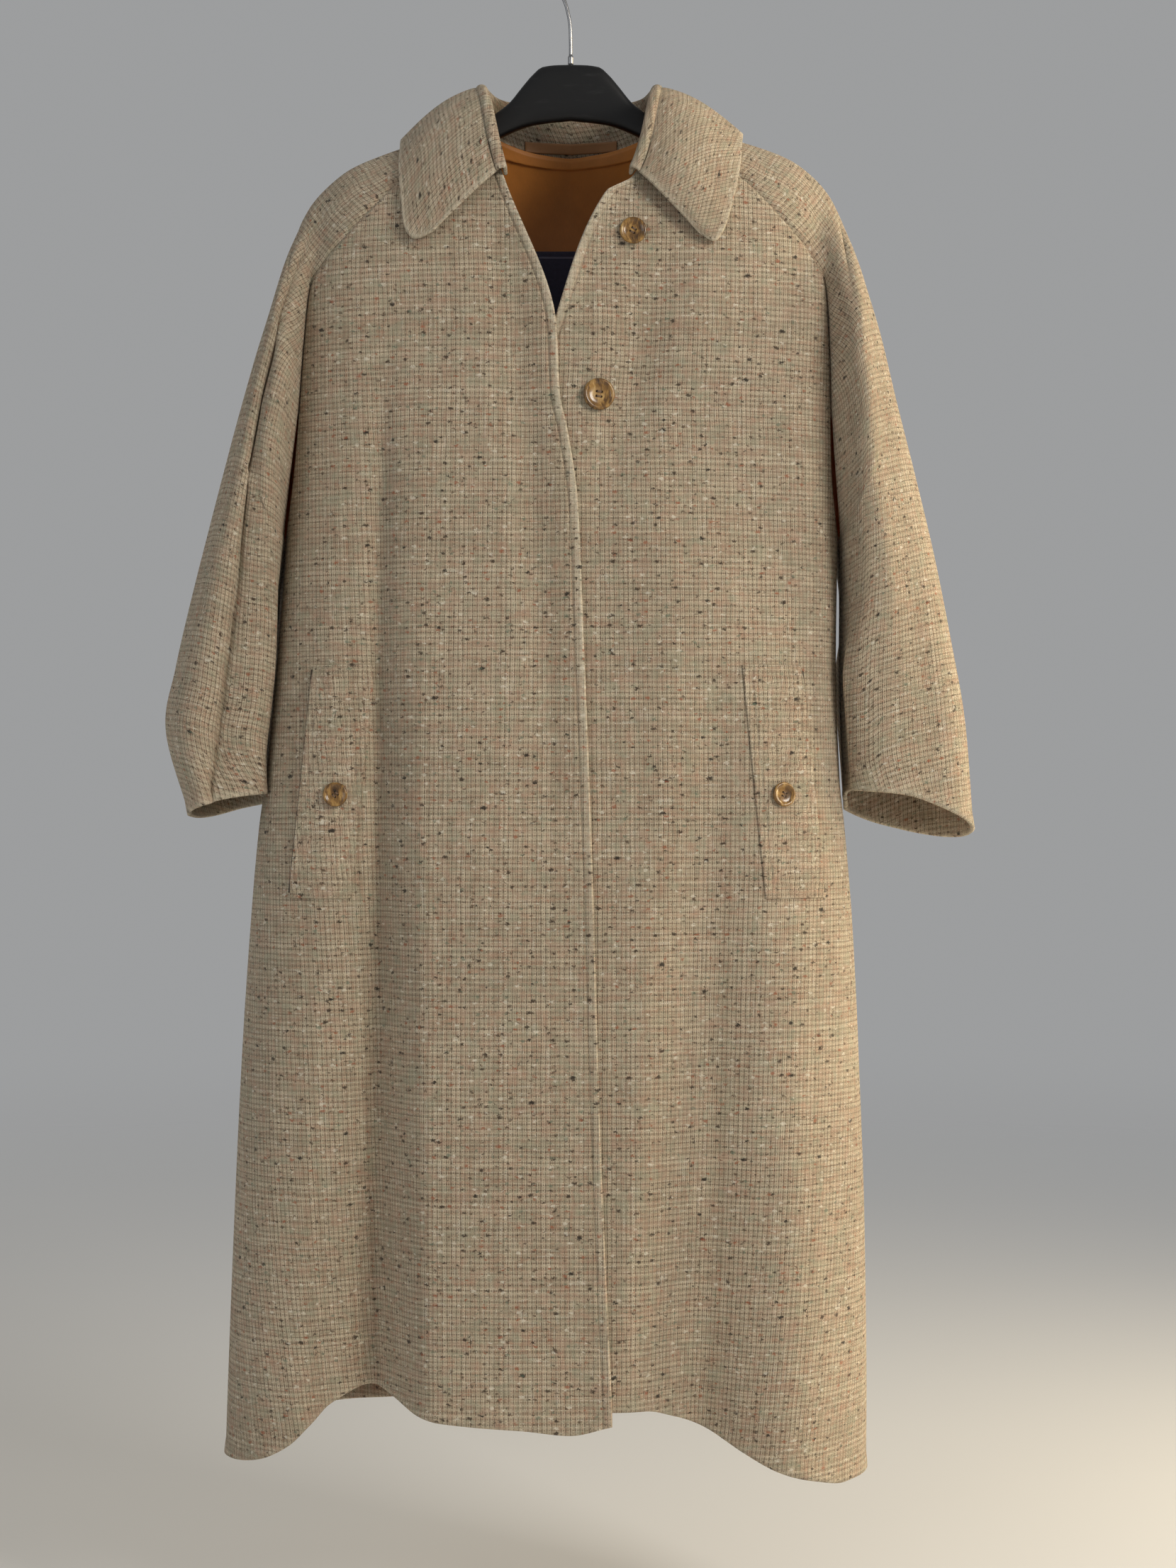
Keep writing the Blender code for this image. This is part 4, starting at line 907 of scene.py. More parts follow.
def edge_relief(away):
    """Height of a folded, stitched edge at a distance from it."""
    return hem_relief(away) - STITCH_GROOVE * np.exp(-((away - STITCH_IN) / STITCH_GROOVE_WIDE) ** 2)


def hem_relief(away):
    return EDGE_SWELL * (1.0 - ease(away / EDGE_SWELL_WIDE))


def seam_relief(away):
    return -SEAM_DIP * (1.0 - ease(away / SEAM_DIP_WIDE))


def wear_and_highlight_edge(away, wide=WEAR_AND_HIGHLIGHT_WIDE):
    """How far a cloth edge is painted pale at a distance from it: rubbed wear and painted highlight of the
    lit folded edge.
    """
    return WEAR_AND_HIGHLIGHT_SHARE * np.exp(-(away / wide) ** 2)


def mesh_object(name, points, faces, looks, face_look=None, uv=None, wear_and_highlight=None):
    mesh = bpy.data.meshes.new(name)
    mesh.from_pydata([tuple(p) for p in points], [], faces)
    for look in looks:
        mesh.materials.append(look)
    mesh.polygons.foreach_set("use_smooth", np.ones(len(mesh.polygons), bool))
    if face_look is not None:
        mesh.polygons.foreach_set("material_index", np.asarray(face_look, np.int32))
    if uv is not None:
        corner = np.empty(len(mesh.loops), np.int32)
        mesh.loops.foreach_get("vertex_index", corner)
        layer = mesh.uv_layers.new(name=UV_NAME)
        layer.data.foreach_set("uv", np.asarray(uv, np.float32)[corner].ravel())
    if wear_and_highlight is not None:
        mask = mesh.attributes.new(WEAR_AND_HIGHLIGHT_NAME, "FLOAT", "POINT")
        mask.data.foreach_set("value", np.asarray(wear_and_highlight, np.float32))
    mesh.update()
    piece = bpy.data.objects.new(name, mesh)
    bpy.context.collection.objects.link(piece)
    return piece


def shell(name, grid, normals, wall, relief, uv, looks, inside, bulge, wear_and_highlight=None):
    """A closed cloth wall about a grid, with rounded free edges. bulge: top, right, bottom, left."""
    rows, columns = grid.shape[:2]
    count = rows * columns
    outer = grid + normals * (0.5 * wall + relief)[:, :, None]
    inner = grid - normals * (0.5 * wall)
    rim = [(0, c) for c in range(columns)] + [(r, columns - 1) for r in range(1, rows)]
    rim += [(rows - 1, c) for c in range(columns - 2, -1, -1)] + [(r, 0) for r in range(rows - 2, 0, -1)]
    out_top = unit(grid[0] - grid[1]) * bulge[0]
    out_right = unit(grid[:, -1] - grid[:, -2]) * bulge[1]
    out_bottom = unit(grid[-1] - grid[-2]) * bulge[2]
    out_left = unit(grid[:, 0] - grid[:, 1]) * bulge[3]
    middle = []
    for r, c in rim:
        out = np.zeros(3)
        if r == 0:
            out = out + out_top[c]
        if c == columns - 1:
            out = out + out_right[r]
        if r == rows - 1:
            out = out + out_bottom[c]
        if c == 0:
            out = out + out_left[r]
        middle.append(0.5 * (outer[r, c] + inner[r, c]) + out * wall)
    points = np.concatenate((outer.reshape(-1, 3), inner.reshape(-1, 3), np.array(middle)))
    index = np.arange(count).reshape(rows, columns)
    quads = np.stack((index[:-1, :-1], index[1:, :-1], index[1:, 1:], index[:-1, 1:]), axis=-1).reshape(-1, 4)
    mid_r, mid_c = rows // 2, columns // 2
    turn = np.cross(grid[mid_r + 1, mid_c] - grid[mid_r, mid_c], grid[mid_r, mid_c + 1] - grid[mid_r, mid_c])
    front = quads if np.dot(turn, normals[mid_r, mid_c]) > 0.0 else quads[:, ::-1]
    faces = front.tolist() + (front[:, ::-1] + count).tolist()
    looked = [0] * len(front) + np.asarray(inside, int)[:-1, :-1].ravel().tolist()
    ring = [r * columns + c for r, c in rim]
    size = len(ring)
    flip = np.dot(turn, normals[mid_r, mid_c]) > 0.0
    for k in range(size):
        n = (k + 1) % size
        upper = (ring[k], ring[n], 2 * count + n, 2 * count + k)
        lower = (2 * count + k, 2 * count + n, count + ring[n], count + ring[k])
        for face in (upper, lower):
            faces.append(face if flip else face[::-1])
            looked.append(0)
    flat_uv = uv.reshape(-1, 2)
    all_uv = np.concatenate((flat_uv, flat_uv, flat_uv[ring]))
    flat_wear_and_highlight = np.zeros(count) if wear_and_highlight is None else wear_and_highlight.ravel()
    all_wear_and_highlight = np.concatenate((flat_wear_and_highlight, flat_wear_and_highlight, flat_wear_and_highlight[ring]))
    return mesh_object(name, points, faces, looks, looked, all_uv, all_wear_and_highlight)


def finish_cloth(piece, node):
    """Tie a cloth piece to the frame and hide the CAD part that it replaces."""
    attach(piece, BODY_NAME)
    if node:
        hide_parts(node)


class Net:
    """A material and short ways to add nodes to it."""

    def __init__(self, name):
        self.made = bpy.data.materials.new(name)
        self.made.use_nodes = True
        self.tree = self.made.node_tree
        self.shader = self.tree.nodes["Principled BSDF"]

    def put(self, socket, value):
        if isinstance(value, bpy.types.NodeSocket):
            self.tree.links.new(value, socket)
        else:
            socket.default_value = value

    def node(self, kind, inputs=None, **settings):
        made = self.tree.nodes.new(kind)
        for key, value in settings.items():
            setattr(made, key, value)
        for key, value in (inputs or {}).items():
            self.put(made.inputs[key], value)
        return made

    def math(self, operation, a, b=0.0, c=0.0):
        made = self.node("ShaderNodeMath", {0: a, 1: b, 2: c}, operation=operation)
        return made.outputs[0]

    def times(self, a, b, plus=None):
        """a times b, plus a third value where there is one."""
        if plus is None:
            return self.math("MULTIPLY", a, b)
        return self.math("MULTIPLY_ADD", a, b, plus)

    def from_half(self, value):
        """How far a value lies from the middle of its whole step."""
        return self.math("ABSOLUTE", self.math("SUBTRACT", self.math("FRACT", value), 0.5))

    def rounded(self, value, share):
        """1 less a share of the value's square."""
        return self.math("SUBTRACT", 1.0, self.times(self.times(value, value), share))

    def cloth_place(self):
        return self.node("ShaderNodeUVMap", uv_map=UV_NAME).outputs[0]

    def solid_place(self):
        return self.node("ShaderNodeTexCoord").outputs["Object"]

    def joined(self, x, y, z=0.0):
        return self.node("ShaderNodeCombineXYZ", {0: x, 1: y, 2: z}).outputs[0]

    def parted(self, vector):
        return self.node("ShaderNodeSeparateXYZ", {0: vector}).outputs

    def noise(self, vector, scale, detail=2.0, rough=0.5, output="Fac"):
        made = self.node("ShaderNodeTexNoise", {"Vector": vector, "Scale": scale, "Detail": detail,
                                                "Roughness": rough})
        return made.outputs[output]

    def cells(self, vector, scale):
        return self.node("ShaderNodeTexVoronoi", {"Vector": vector, "Scale": scale}, voronoi_dimensions="2D")

    def random(self, vector):
        made = self.node("ShaderNodeTexWhiteNoise", {"Vector": vector}, noise_dimensions="2D")
        return made.outputs["Value"]

    def step(self, value, low, high):
        """Soft step of a value between low and high."""
        made = self.node("ShaderNodeMapRange", {"Value": value, "From Min": low, "From Max": high},
                         interpolation_type="SMOOTHSTEP")
        return made.outputs[0]

    def mix(self, part, first, second, blend="MIX"):
        made = self.node("ShaderNodeMix", data_type="RGBA", blend_type=blend)
        for socket, value in zip((made.inputs[0], made.inputs[6], made.inputs[7]), (part, first, second)):
            self.put(socket, value)
        return made.outputs[2]

    def ramp(self, value, stops_at):
        made = self.node("ShaderNodeValToRGB", {"Fac": value})
        made.color_ramp.interpolation = "LINEAR"
        while len(made.color_ramp.elements) < len(stops_at):
            made.color_ramp.elements.new(1.0)
        for element, (place, colour) in zip(made.color_ramp.elements, stops_at):
            element.position = place
            element.color = colour
        return made.outputs["Color"]

    def shaded(self, colour, light):
        """A colour darkened by a value."""
        return self.mix(1.0, colour, self.joined(light, light, light), "MULTIPLY")

    def tinted(self, colour, chance, tints):
        """Tints laid over a colour, each where its own channel of a coloured noise runs high."""
        channels = self.node("ShaderNodeSeparateColor", {0: chance}).outputs
        for channel, tint in zip(channels, tints):
            part = self.times(self.step(channel, tint["low"], tint["high"]), tint["strength"])
            colour = self.mix(part, colour, tint["colour"])
        return colour

    def stretched(self, vector, wide, tall, deep=1.0):
        made = self.node("ShaderNodeVectorMath", {0: vector, 1: (wide, tall, deep)}, operation="MULTIPLY")
        return made.outputs[0]

    def shifted(self, vector, by):
        return self.node("ShaderNodeVectorMath", {0: vector, 1: by}).outputs[0]

    def bump(self, height, strength, distance):
        made = self.node("ShaderNodeBump", {"Height": height, "Strength": strength, "Distance": distance})
        self.put(self.shader.inputs["Normal"], made.outputs[0])

    def set(self, **values):
        for key, value in values.items():
            self.put(self.shader.inputs[key.replace("_", " ")], value)


def yarns(net, index, along, seed):
    """Colour of the yarns that run one way: blends of cream, tan, rust and moss, every fourth one brown."""
    chance = net.random(net.joined(index, seed))
    spot = net.joined(net.times(index, BLEND_ACROSS), net.times(along, BLEND_LONG), seed)
    colour = net.mix(chance, TAN_YARN, CREAM_YARN)
    colour = net.tinted(colour, net.noise(spot, 1.0, 3.0, 0.65, "Color"), YARN_TINTS)
    slub = net.noise(net.joined(index, net.times(along, SLUB_LONG), seed), 1.0, 2.0, 0.6)
    colour = net.shaded(colour, net.times(slub, SLUB_LIGHT, SLUB_DARK))
    dark = net.math("LESS_THAN", net.math("FLOORED_MODULO", index, DARK_EVERY), 0.5)
    return net.mix(net.times(dark, net.times(chance, 0.35, 0.60)), colour, BROWN_YARN)


def tweed_look():
    """Flecked tweed: a plain weave of uneven yarns with brown ones between, neps and a soft nap."""
    net = Net("tweed")
    uv = net.cloth_place()
    sway = net.parted(net.noise(uv, 30.0, 3.0, 0.6, "Color"))
    place = net.parted(uv)
    across = net.times(sway[0], YARN_SWAY, net.times(place[0], 1.0 / WARP_PITCH))
    down = net.times(sway[1], YARN_SWAY, net.times(place[1], 1.0 / WEFT_PITCH))
    warp = net.math("FLOOR", across)
    weft = net.math("FLOOR", down)
    over = net.math("FLOORED_MODULO", net.math("ADD", warp, weft), 2.0)
    from_warp = net.from_half(across)
    from_weft = net.from_half(down)
    seen = net.times(over, 1.0 - 2.0 * UNDER_SHOWS, UNDER_SHOWS)
    colour = net.mix(seen, yarns(net, weft, place[0], 3.7), yarns(net, warp, place[1], 9.1))
    colour = net.tinted(colour, net.noise(uv, PATCH_SCALE, 3.0, 0.6, "Color"), PATCH_TINTS)
    # Pale edges: rubbed wear and painted highlight of the lit folded edges, mixed in as pale yarn colour
    wear_and_highlight = net.node("ShaderNodeAttribute", attribute_name=WEAR_AND_HIGHLIGHT_NAME).outputs["Fac"]
    frayed_and_lit = net.times(wear_and_highlight, net.step(net.noise(uv, 260.0, 3.0, 0.6), 0.25, 0.62))
    colour = net.mix(frayed_and_lit, colour, WEAR_AND_HIGHLIGHT_YARN)
    swap_part = net.times(over, net.math("SUBTRACT", from_warp, from_weft))
    beside = net.math("ADD", from_weft, swap_part)
    lengthwise = net.math("SUBTRACT", from_warp, swap_part)
    thread = net.times(net.rounded(beside, 3.6), net.rounded(lengthwise, 2.4))
    fibre = net.noise(uv, 1700.0, 3.0, 0.7)
    shaken = net.stretched(net.noise(uv, 520.0, 3.0, 0.7, "Color"), 0.005, 0.005)
    moved = net.shifted(net.stretched(uv, 0.60, 1.0), shaken)
    neps = None
    for nep in NEPS:
        spots = net.cells(moved, nep["cells"])
        parts = net.node("ShaderNodeSeparateColor", {0: spots.outputs["Color"]})
        there = net.math("LESS_THAN", parts.outputs[0], nep["share"])
        reach = net.times(parts.outputs[1], nep["size"], NEP_LEAST * nep["size"])
        near = net.math("DIVIDE", spots.outputs["Distance"], reach)
        mask = net.times(net.math("SUBTRACT", 1.0, net.step(near, 0.40, 1.10)), there)
        colour = net.mix(net.times(mask, nep["strength"]), colour, nep["colour"])
        if nep["cells"] <= RAISED_NEPS:
            neps = mask if neps is None else net.math("MAXIMUM", neps, mask)
    # Fibre and cloud noise vary the tone at random; the thread term paints shade in the gaps between the
    # yarns
    lights = net.times(fibre, 0.44, 0.56)
    lights = net.times(thread, 0.34, lights)
    lights = net.times(lights, net.times(net.noise(uv, 70.0, 3.0, 0.6), 0.44, 0.78))
    lights = net.times(lights, net.times(net.noise(uv, 9.0, 2.0, 0.5), 0.24, 0.88))
    colour = net.shaded(colour, lights)
    height = net.times(fibre, 0.55, net.times(thread, 0.70))
    height = net.times(neps, 0.50, height)
    net.set(Base_Color=colour, Roughness=0.92, Sheen_Weight=0.20, Sheen_Roughness=0.55,
            Sheen_Tint=(0.90, 0.82, 0.68, 1.0), Specular_IOR_Level=0.25)
    net.bump(height, 0.90, 0.0007)
    return net.made


def satin_look(name, colour, rough):
    """Lining satin: fine diagonal ribs and a soft sheen."""
    net = Net(name)
    uv = net.cloth_place()
    place = net.parted(uv)
    rib = net.math("SINE", net.math("ADD", net.times(place[0], 5200.0), net.times(place[1], 7400.0)))
    cloud = net.noise(uv, 26.0, 3.0, 0.6)
    grain = net.noise(net.stretched(uv, 2400.0, 240.0), 1.0, 2.0, 0.6)
    shade = net.times(cloud, 0.55, net.times(grain, 0.30, 0.58))
    net.set(Base_Color=net.shaded(colour, shade), Roughness=net.times(grain, 0.16, rough),
            Sheen_Weight=0.15, Sheen_Roughness=0.4)
    net.bump(net.times(rib, 0.25, grain), 0.35, 0.0002)
    return net.made


def label_look():
    """Plain navy damask with a lighter woven border."""
    net = Net("label")
    uv = net.cloth_place()
    place = net.parted(uv)
    from_side = net.math("SUBTRACT", 0.5 * LABEL["wide"], net.math("ABSOLUTE", place[0]))
    from_top = net.math("SUBTRACT", 0.5 * LABEL["tall"], net.math("ABSOLUTE", place[1]))
    inset = net.math("MINIMUM", from_side, from_top)
    stripe = net.math("LESS_THAN", net.math("ABSOLUTE", net.math("SUBTRACT", inset, 0.0052)), 0.0008)
    rows = net.math("SINE", net.times(place[1], 9000.0))
    columns = net.math("SINE", net.times(place[0], 9000.0))
    weave = net.times(rows, columns)
    cloud = net.noise(uv, 300.0, 2.0, 0.6)
    shade = net.times(weave, 0.20, cloud)
    colour = net.mix(shade, (0.018, 0.022, 0.050, 1.0), (0.052, 0.062, 0.128, 1.0))
    colour = net.mix(net.times(stripe, 0.75), colour, (0.210, 0.230, 0.320, 1.0))
    net.set(Base_Color=colour, Roughness=0.55, Sheen_Weight=0.2, Sheen_Roughness=0.4)
    net.bump(weave, 0.4, 0.0002)
    return net.made


def horn_look():
    """Polished horn: amber and brown streaks under a clear gloss."""
    net = Net("horn")
    place = net.solid_place()
    bent = net.stretched(net.noise(place, 70.0, 3.0, 0.6, "Color"), 0.010, 0.010, 0.010)
    streak = net.noise(net.stretched(net.shifted(place, bent), 320.0, 60.0, 90.0), 1.0, 4.0, 0.6)
    colour = net.ramp(streak, (
        (0.28, (0.034, 0.016, 0.005, 1.0)),
        (0.44, (0.140, 0.068, 0.016, 1.0)),
        (0.56, (0.300, 0.162, 0.040, 1.0)),
        (0.70, (0.470, 0.300, 0.105, 1.0)),
    ))
    grain = net.noise(place, 2600.0, 2.0, 0.5)
    net.set(Base_Color=colour, Roughness=net.times(grain, 0.16, 0.16), Coat_Weight=0.3,
            Coat_Roughness=0.12)
    net.bump(streak, 0.10, 0.0002)
    return net.made


def plastic_look():
    """Black moulded plastic with a fine spark grain and light scuffs."""
    net = Net("plastic")
    place = net.solid_place()
    grain = net.noise(place, 1800.0, 2.0, 0.5)
    scuff = net.step(net.noise(net.stretched(place, 40.0, 200.0, 260.0), 1.0, 4.0, 0.7), 0.56, 0.74)
    colour = net.mix(scuff, (0.004, 0.004, 0.0044, 1.0), (0.010, 0.010, 0.0105, 1.0))
    rough = net.times(grain, 0.20, net.times(scuff, 0.08, 0.32))
    net.set(Base_Color=colour, Roughness=rough, Specular_IOR_Level=0.38)
    net.bump(grain, 0.12, 0.0002)
    return net.made


def steel_look():
    """Drawn wire: fine lines along its length."""
    net = Net("steel")
    place = net.solid_place()
    drawn = net.noise(net.stretched(place, 1800.0, 1800.0, 90.0), 1.0, 3.0, 0.6)
    dull = net.noise(place, 120.0, 3.0, 0.6)
    colour = net.mix(dull, (0.20, 0.20, 0.21, 1.0), (0.38, 0.38, 0.38, 1.0))
    net.set(Base_Color=colour, Metallic=1.0, Roughness=net.times(drawn, 0.22, 0.16))
    net.bump(drawn, 0.10, 0.0001)
    return net.made


def thread_look(name, light, dark):
    """Sewing thread with its twist."""
    net = Net(name)
    place = net.solid_place()
    twist = net.noise(place, 2600.0, 2.0, 0.6)
    net.set(Base_Color=net.mix(twist, dark, light), Roughness=net.times(twist, 0.2, 0.65),
            Sheen_Weight=0.3)
    net.bump(twist, 0.4, 0.0002)
    return net.made


def floor_look():
    """Pale floor that thins out far from the coat, so that no horizon shows."""
    net = Net("floor")
    place = net.solid_place()
    cloud = net.noise(place, 0.8, 3.0, 0.5)
    net.set(Base_Color=net.mix(cloud, (0.70, 0.70, 0.69, 1.0), (0.76, 0.76, 0.75, 1.0)), Roughness=0.75)
    far = net.node("ShaderNodeVectorMath", {0: place}, operation="LENGTH").outputs["Value"]
    clear = net.tree.nodes.new("ShaderNodeBsdfTransparent")
    both = net.tree.nodes.new("ShaderNodeMixShader")
    net.put(both.inputs[0], net.step(far, 0.8, 5.0))
    net.tree.links.new(net.shader.outputs[0], both.inputs[1])
    net.tree.links.new(clear.outputs[0], both.inputs[2])
    net.tree.links.new(both.outputs[0], net.tree.nodes["Material Output"].inputs["Surface"])
    return net.made


def grain_uv(grid, across_from, mirror):
    """Places on the flat cloth, in metres: across from one line of the grid, and down it."""
    run = run_from(grid, 1, "first")
    run = run - run[:, [across_from]]
    down = run_from(grid, 0, "first")
    return np.stack((-run if mirror else run, -down), axis=-1)


def level_uv(grid, column, way):
    """Places on the flat cloth of a body panel, in metres, with its threads upright and level."""
    run = run_from(grid, 1, "first")
    across = grid[:, column, 0][:, None] + way * (run - run[:, column][:, None])
    return np.stack((across, grid[:, :, 2]), axis=-1)


def matched_uv(points, carrier, carrier_uv):
    """Places on the flat cloth read from the panel that a piece lies on, so that its weave runs on."""
    spots = carrier.reshape(-1, 3)
    flat = carrier_uv.reshape(-1, 2)
    tree = KDTree(len(spots))
    for k, spot in enumerate(spots):
        tree.insert(spot, k)
    tree.balance()
    out = []
    for point in points.reshape(-1, 3):
        near = tree.find_n(point, 4)
        weights = np.array([1.0 / (1e-6 + found[2] ** 2) for found in near])
        out.append(weights @ flat[[found[1] for found in near]] / weights.sum())
    return np.array(out).reshape(points.shape[:2] + (2,))


def front_surface(side, x, z):
    """Points and outward normals of a front's outer face."""

    def spot(a, b):
        return np.stack((a, front_y(a, b) + lap(side, a), b), axis=-1)

    x = np.asarray(x, float)
    z = np.asarray(z, float)
    across = spot(x + PROBE, z) - spot(x - PROBE, z)
    up = spot(x, z + PROBE) - spot(x, z - PROBE)
    normal = unit(np.cross(across, up))
    return spot(x, z) + normal * 0.5 * WALL, normal


def welt_places(side, across, downs):
    """Places on the front for steps across a welt and down it."""
    slant = -WELT_SLANT if side == "left" else WELT_SLANT
    centre_x = WELT_LEFT_X if side == "left" else WELT_RIGHT_X
    step, down = np.meshgrid(across, downs)
    return step, down, front_surface(side, centre_x + slant * down + step, WELT_Z - down)


def welt_grid(side):
    """Points and normals of a pocket welt's middle, raised most along its opening."""
    across = stops(WELT_WIDE, WELT_COLUMNS, EDGE_STEPS, EDGE_STEPS) - 0.5 * WELT_WIDE
    downs = stops(WELT_LONG, WELT_ROWS, EDGE_STEPS, EDGE_STEPS) - 0.5 * WELT_LONG
    step, down, (place, normal) = welt_places(side, across, downs)
    toward = -step if side == "left" else step
    ends = ease((0.5 * WELT_LONG - np.abs(down)) / WELT_END_EASE)
    open_part = ease((toward / WELT_WIDE + WELT_OPEN_FROM) / WELT_OPEN_SOFT)
    lift = WELT_LIFT_SEWN + (WELT_LIFT_OPEN - WELT_LIFT_SEWN) * open_part * ends
    return place + normal * (lift + 0.5 * WELT_WALL)[:, :, None], normal


def mouth_shadow_grid(side):
    """Points and normals of the dark strip beside a welt's opening edge: painted shadow of the pocket's
    opening.
    """
    outer = -1.0 if side == "left" else 1.0
    across = outer * 0.5 * WELT_WIDE + MOUTH_SHADOW_WIDE * np.linspace(-0.5, 0.5, MOUTH_SHADOW_COLUMNS)
    downs = (0.5 * WELT_LONG - MOUTH_SHADOW_SHORT) * np.linspace(-1.0, 1.0, MOUTH_SHADOW_ROWS)
    step, down, (place, normal) = welt_places(side, across, downs)
    return place + normal * (MOUTH_SHADOW_LIFT + 0.5 * MOUTH_SHADOW_WALL), normal


def circle(centre, across, up, radius, sides):
    """Points of a ring about a centre."""
    turns = [2.0 * math.pi * k / sides for k in range(sides)]
    return [centre + (math.cos(turn) * across + math.sin(turn) * up) * radius for turn in turns]


def capsule(points, faces, start, end, normal, thick, sides=6):
    """Add a short round thread between two points."""
    way = unit(end - start)
    lift = unit(normal - way * np.dot(normal, way))
    across = np.cross(way, lift)
    base = len(points)
    for part, wide, high in zip(*STITCH_PROFILE.values()):
        middle = start + (end - start) * part + lift * thick * high
        points.extend(circle(middle, across, lift, thick * wide, sides))
    rings = len(STITCH_PROFILE["along"])
    for k in range(rings - 1):
        for s in range(sides):
            n = (s + 1) % sides
            low, high = base + k * sides, base + (k + 1) * sides
            faces.append((low + s, low + n, high + n, high + s))
    faces.append(tuple(base + s for s in range(sides))[::-1])
    faces.append(tuple(base + (rings - 1) * sides + s for s in range(sides)))


def stitching(name, lines, look):
    """Rows of stitches along lines of points with normals."""
    points, faces = [], []
    for line, normals in lines:
        run = along_line(line)
        count = int(run[-1] / STITCH_PITCH)
        for k in range(count):
            begin = (k + 0.5) * run[-1] / count - 0.5 * STITCH_LONG
            ends = spaced(line, np.array((begin, begin + STITCH_LONG)))
            middle = min(int(np.searchsorted(run, begin)), len(normals) - 1)
            capsule(points, faces, ends[0], ends[1], normals[middle], STITCH_THICK)
    piece = mesh_object(name, points, faces, [look])
    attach(piece, BODY_NAME)
    return piece


def level_line(grid, normals, away, distance, wall, relief):
    """Points and normals of the outer face where a distance field reaches a value, row by row."""
    line, ways = [], []
    for r in range(grid.shape[0]):
        order = np.argsort(away[r])
        if away[r].max() < distance:
            continue
        surface = grid[r] + normals[r] * (0.5 * wall + relief[r])[:, None]
        line.append([np.interp(distance, away[r][order], surface[order, k]) for k in range(3)])
        ways.append([np.interp(distance, away[r][order], normals[r][order, k]) for k in range(3)])
    return np.array(line), unit(np.array(ways))


def surface_of(piece):
    mesh = piece.data
    return BVHTree.FromPolygons([v.co for v in mesh.vertices], [f.vertices for f in mesh.polygons])


def laid(surface, spots):
    """Points of a panel met by looking along +Y at a grid of x and z places."""
    rows = []
    for row in spots:
        starts = [Vector((x, -LOOK_FROM, z)) for x, z in row]
        rows.append([surface.ray_cast(start, Vector((0.0, 1.0, 0.0)))[0] for start in starts])
    return np.array(rows, float)


def strip(name, surface, cut, look, node):
    """A thin piece laid on an inner panel."""
    xs = (np.linspace(0.0, 1.0, cut["columns"]) - 0.5) * cut["wide"]
    zs = cut["top"] - np.linspace(0.0, 1.0, cut["rows"]) * cut["tall"]
    points = laid(surface, [[(x, z) for x in xs] for z in zs])
    normals = grid_normals(points, True)
    middle = points + normals * (cut["gap"] + 0.5 * cut["wall"])
    uv = np.stack(np.meshgrid(xs, zs - (cut["top"] - 0.5 * cut["tall"])), axis=-1)
    relief = STRIP_ROUND * ease(from_both(middle, 0) / STRIP_ROUND_WIDE)
    piece = shell(name, middle, normals, cut["wall"], relief, uv, [look], np.zeros(relief.shape),
                  THIN_BULGE["strip"])
    if cut["tall"] < SMALLEST_SHEET:
        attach(piece, BODY_NAME)
        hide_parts(node)
    else:
        finish_cloth(piece, node)


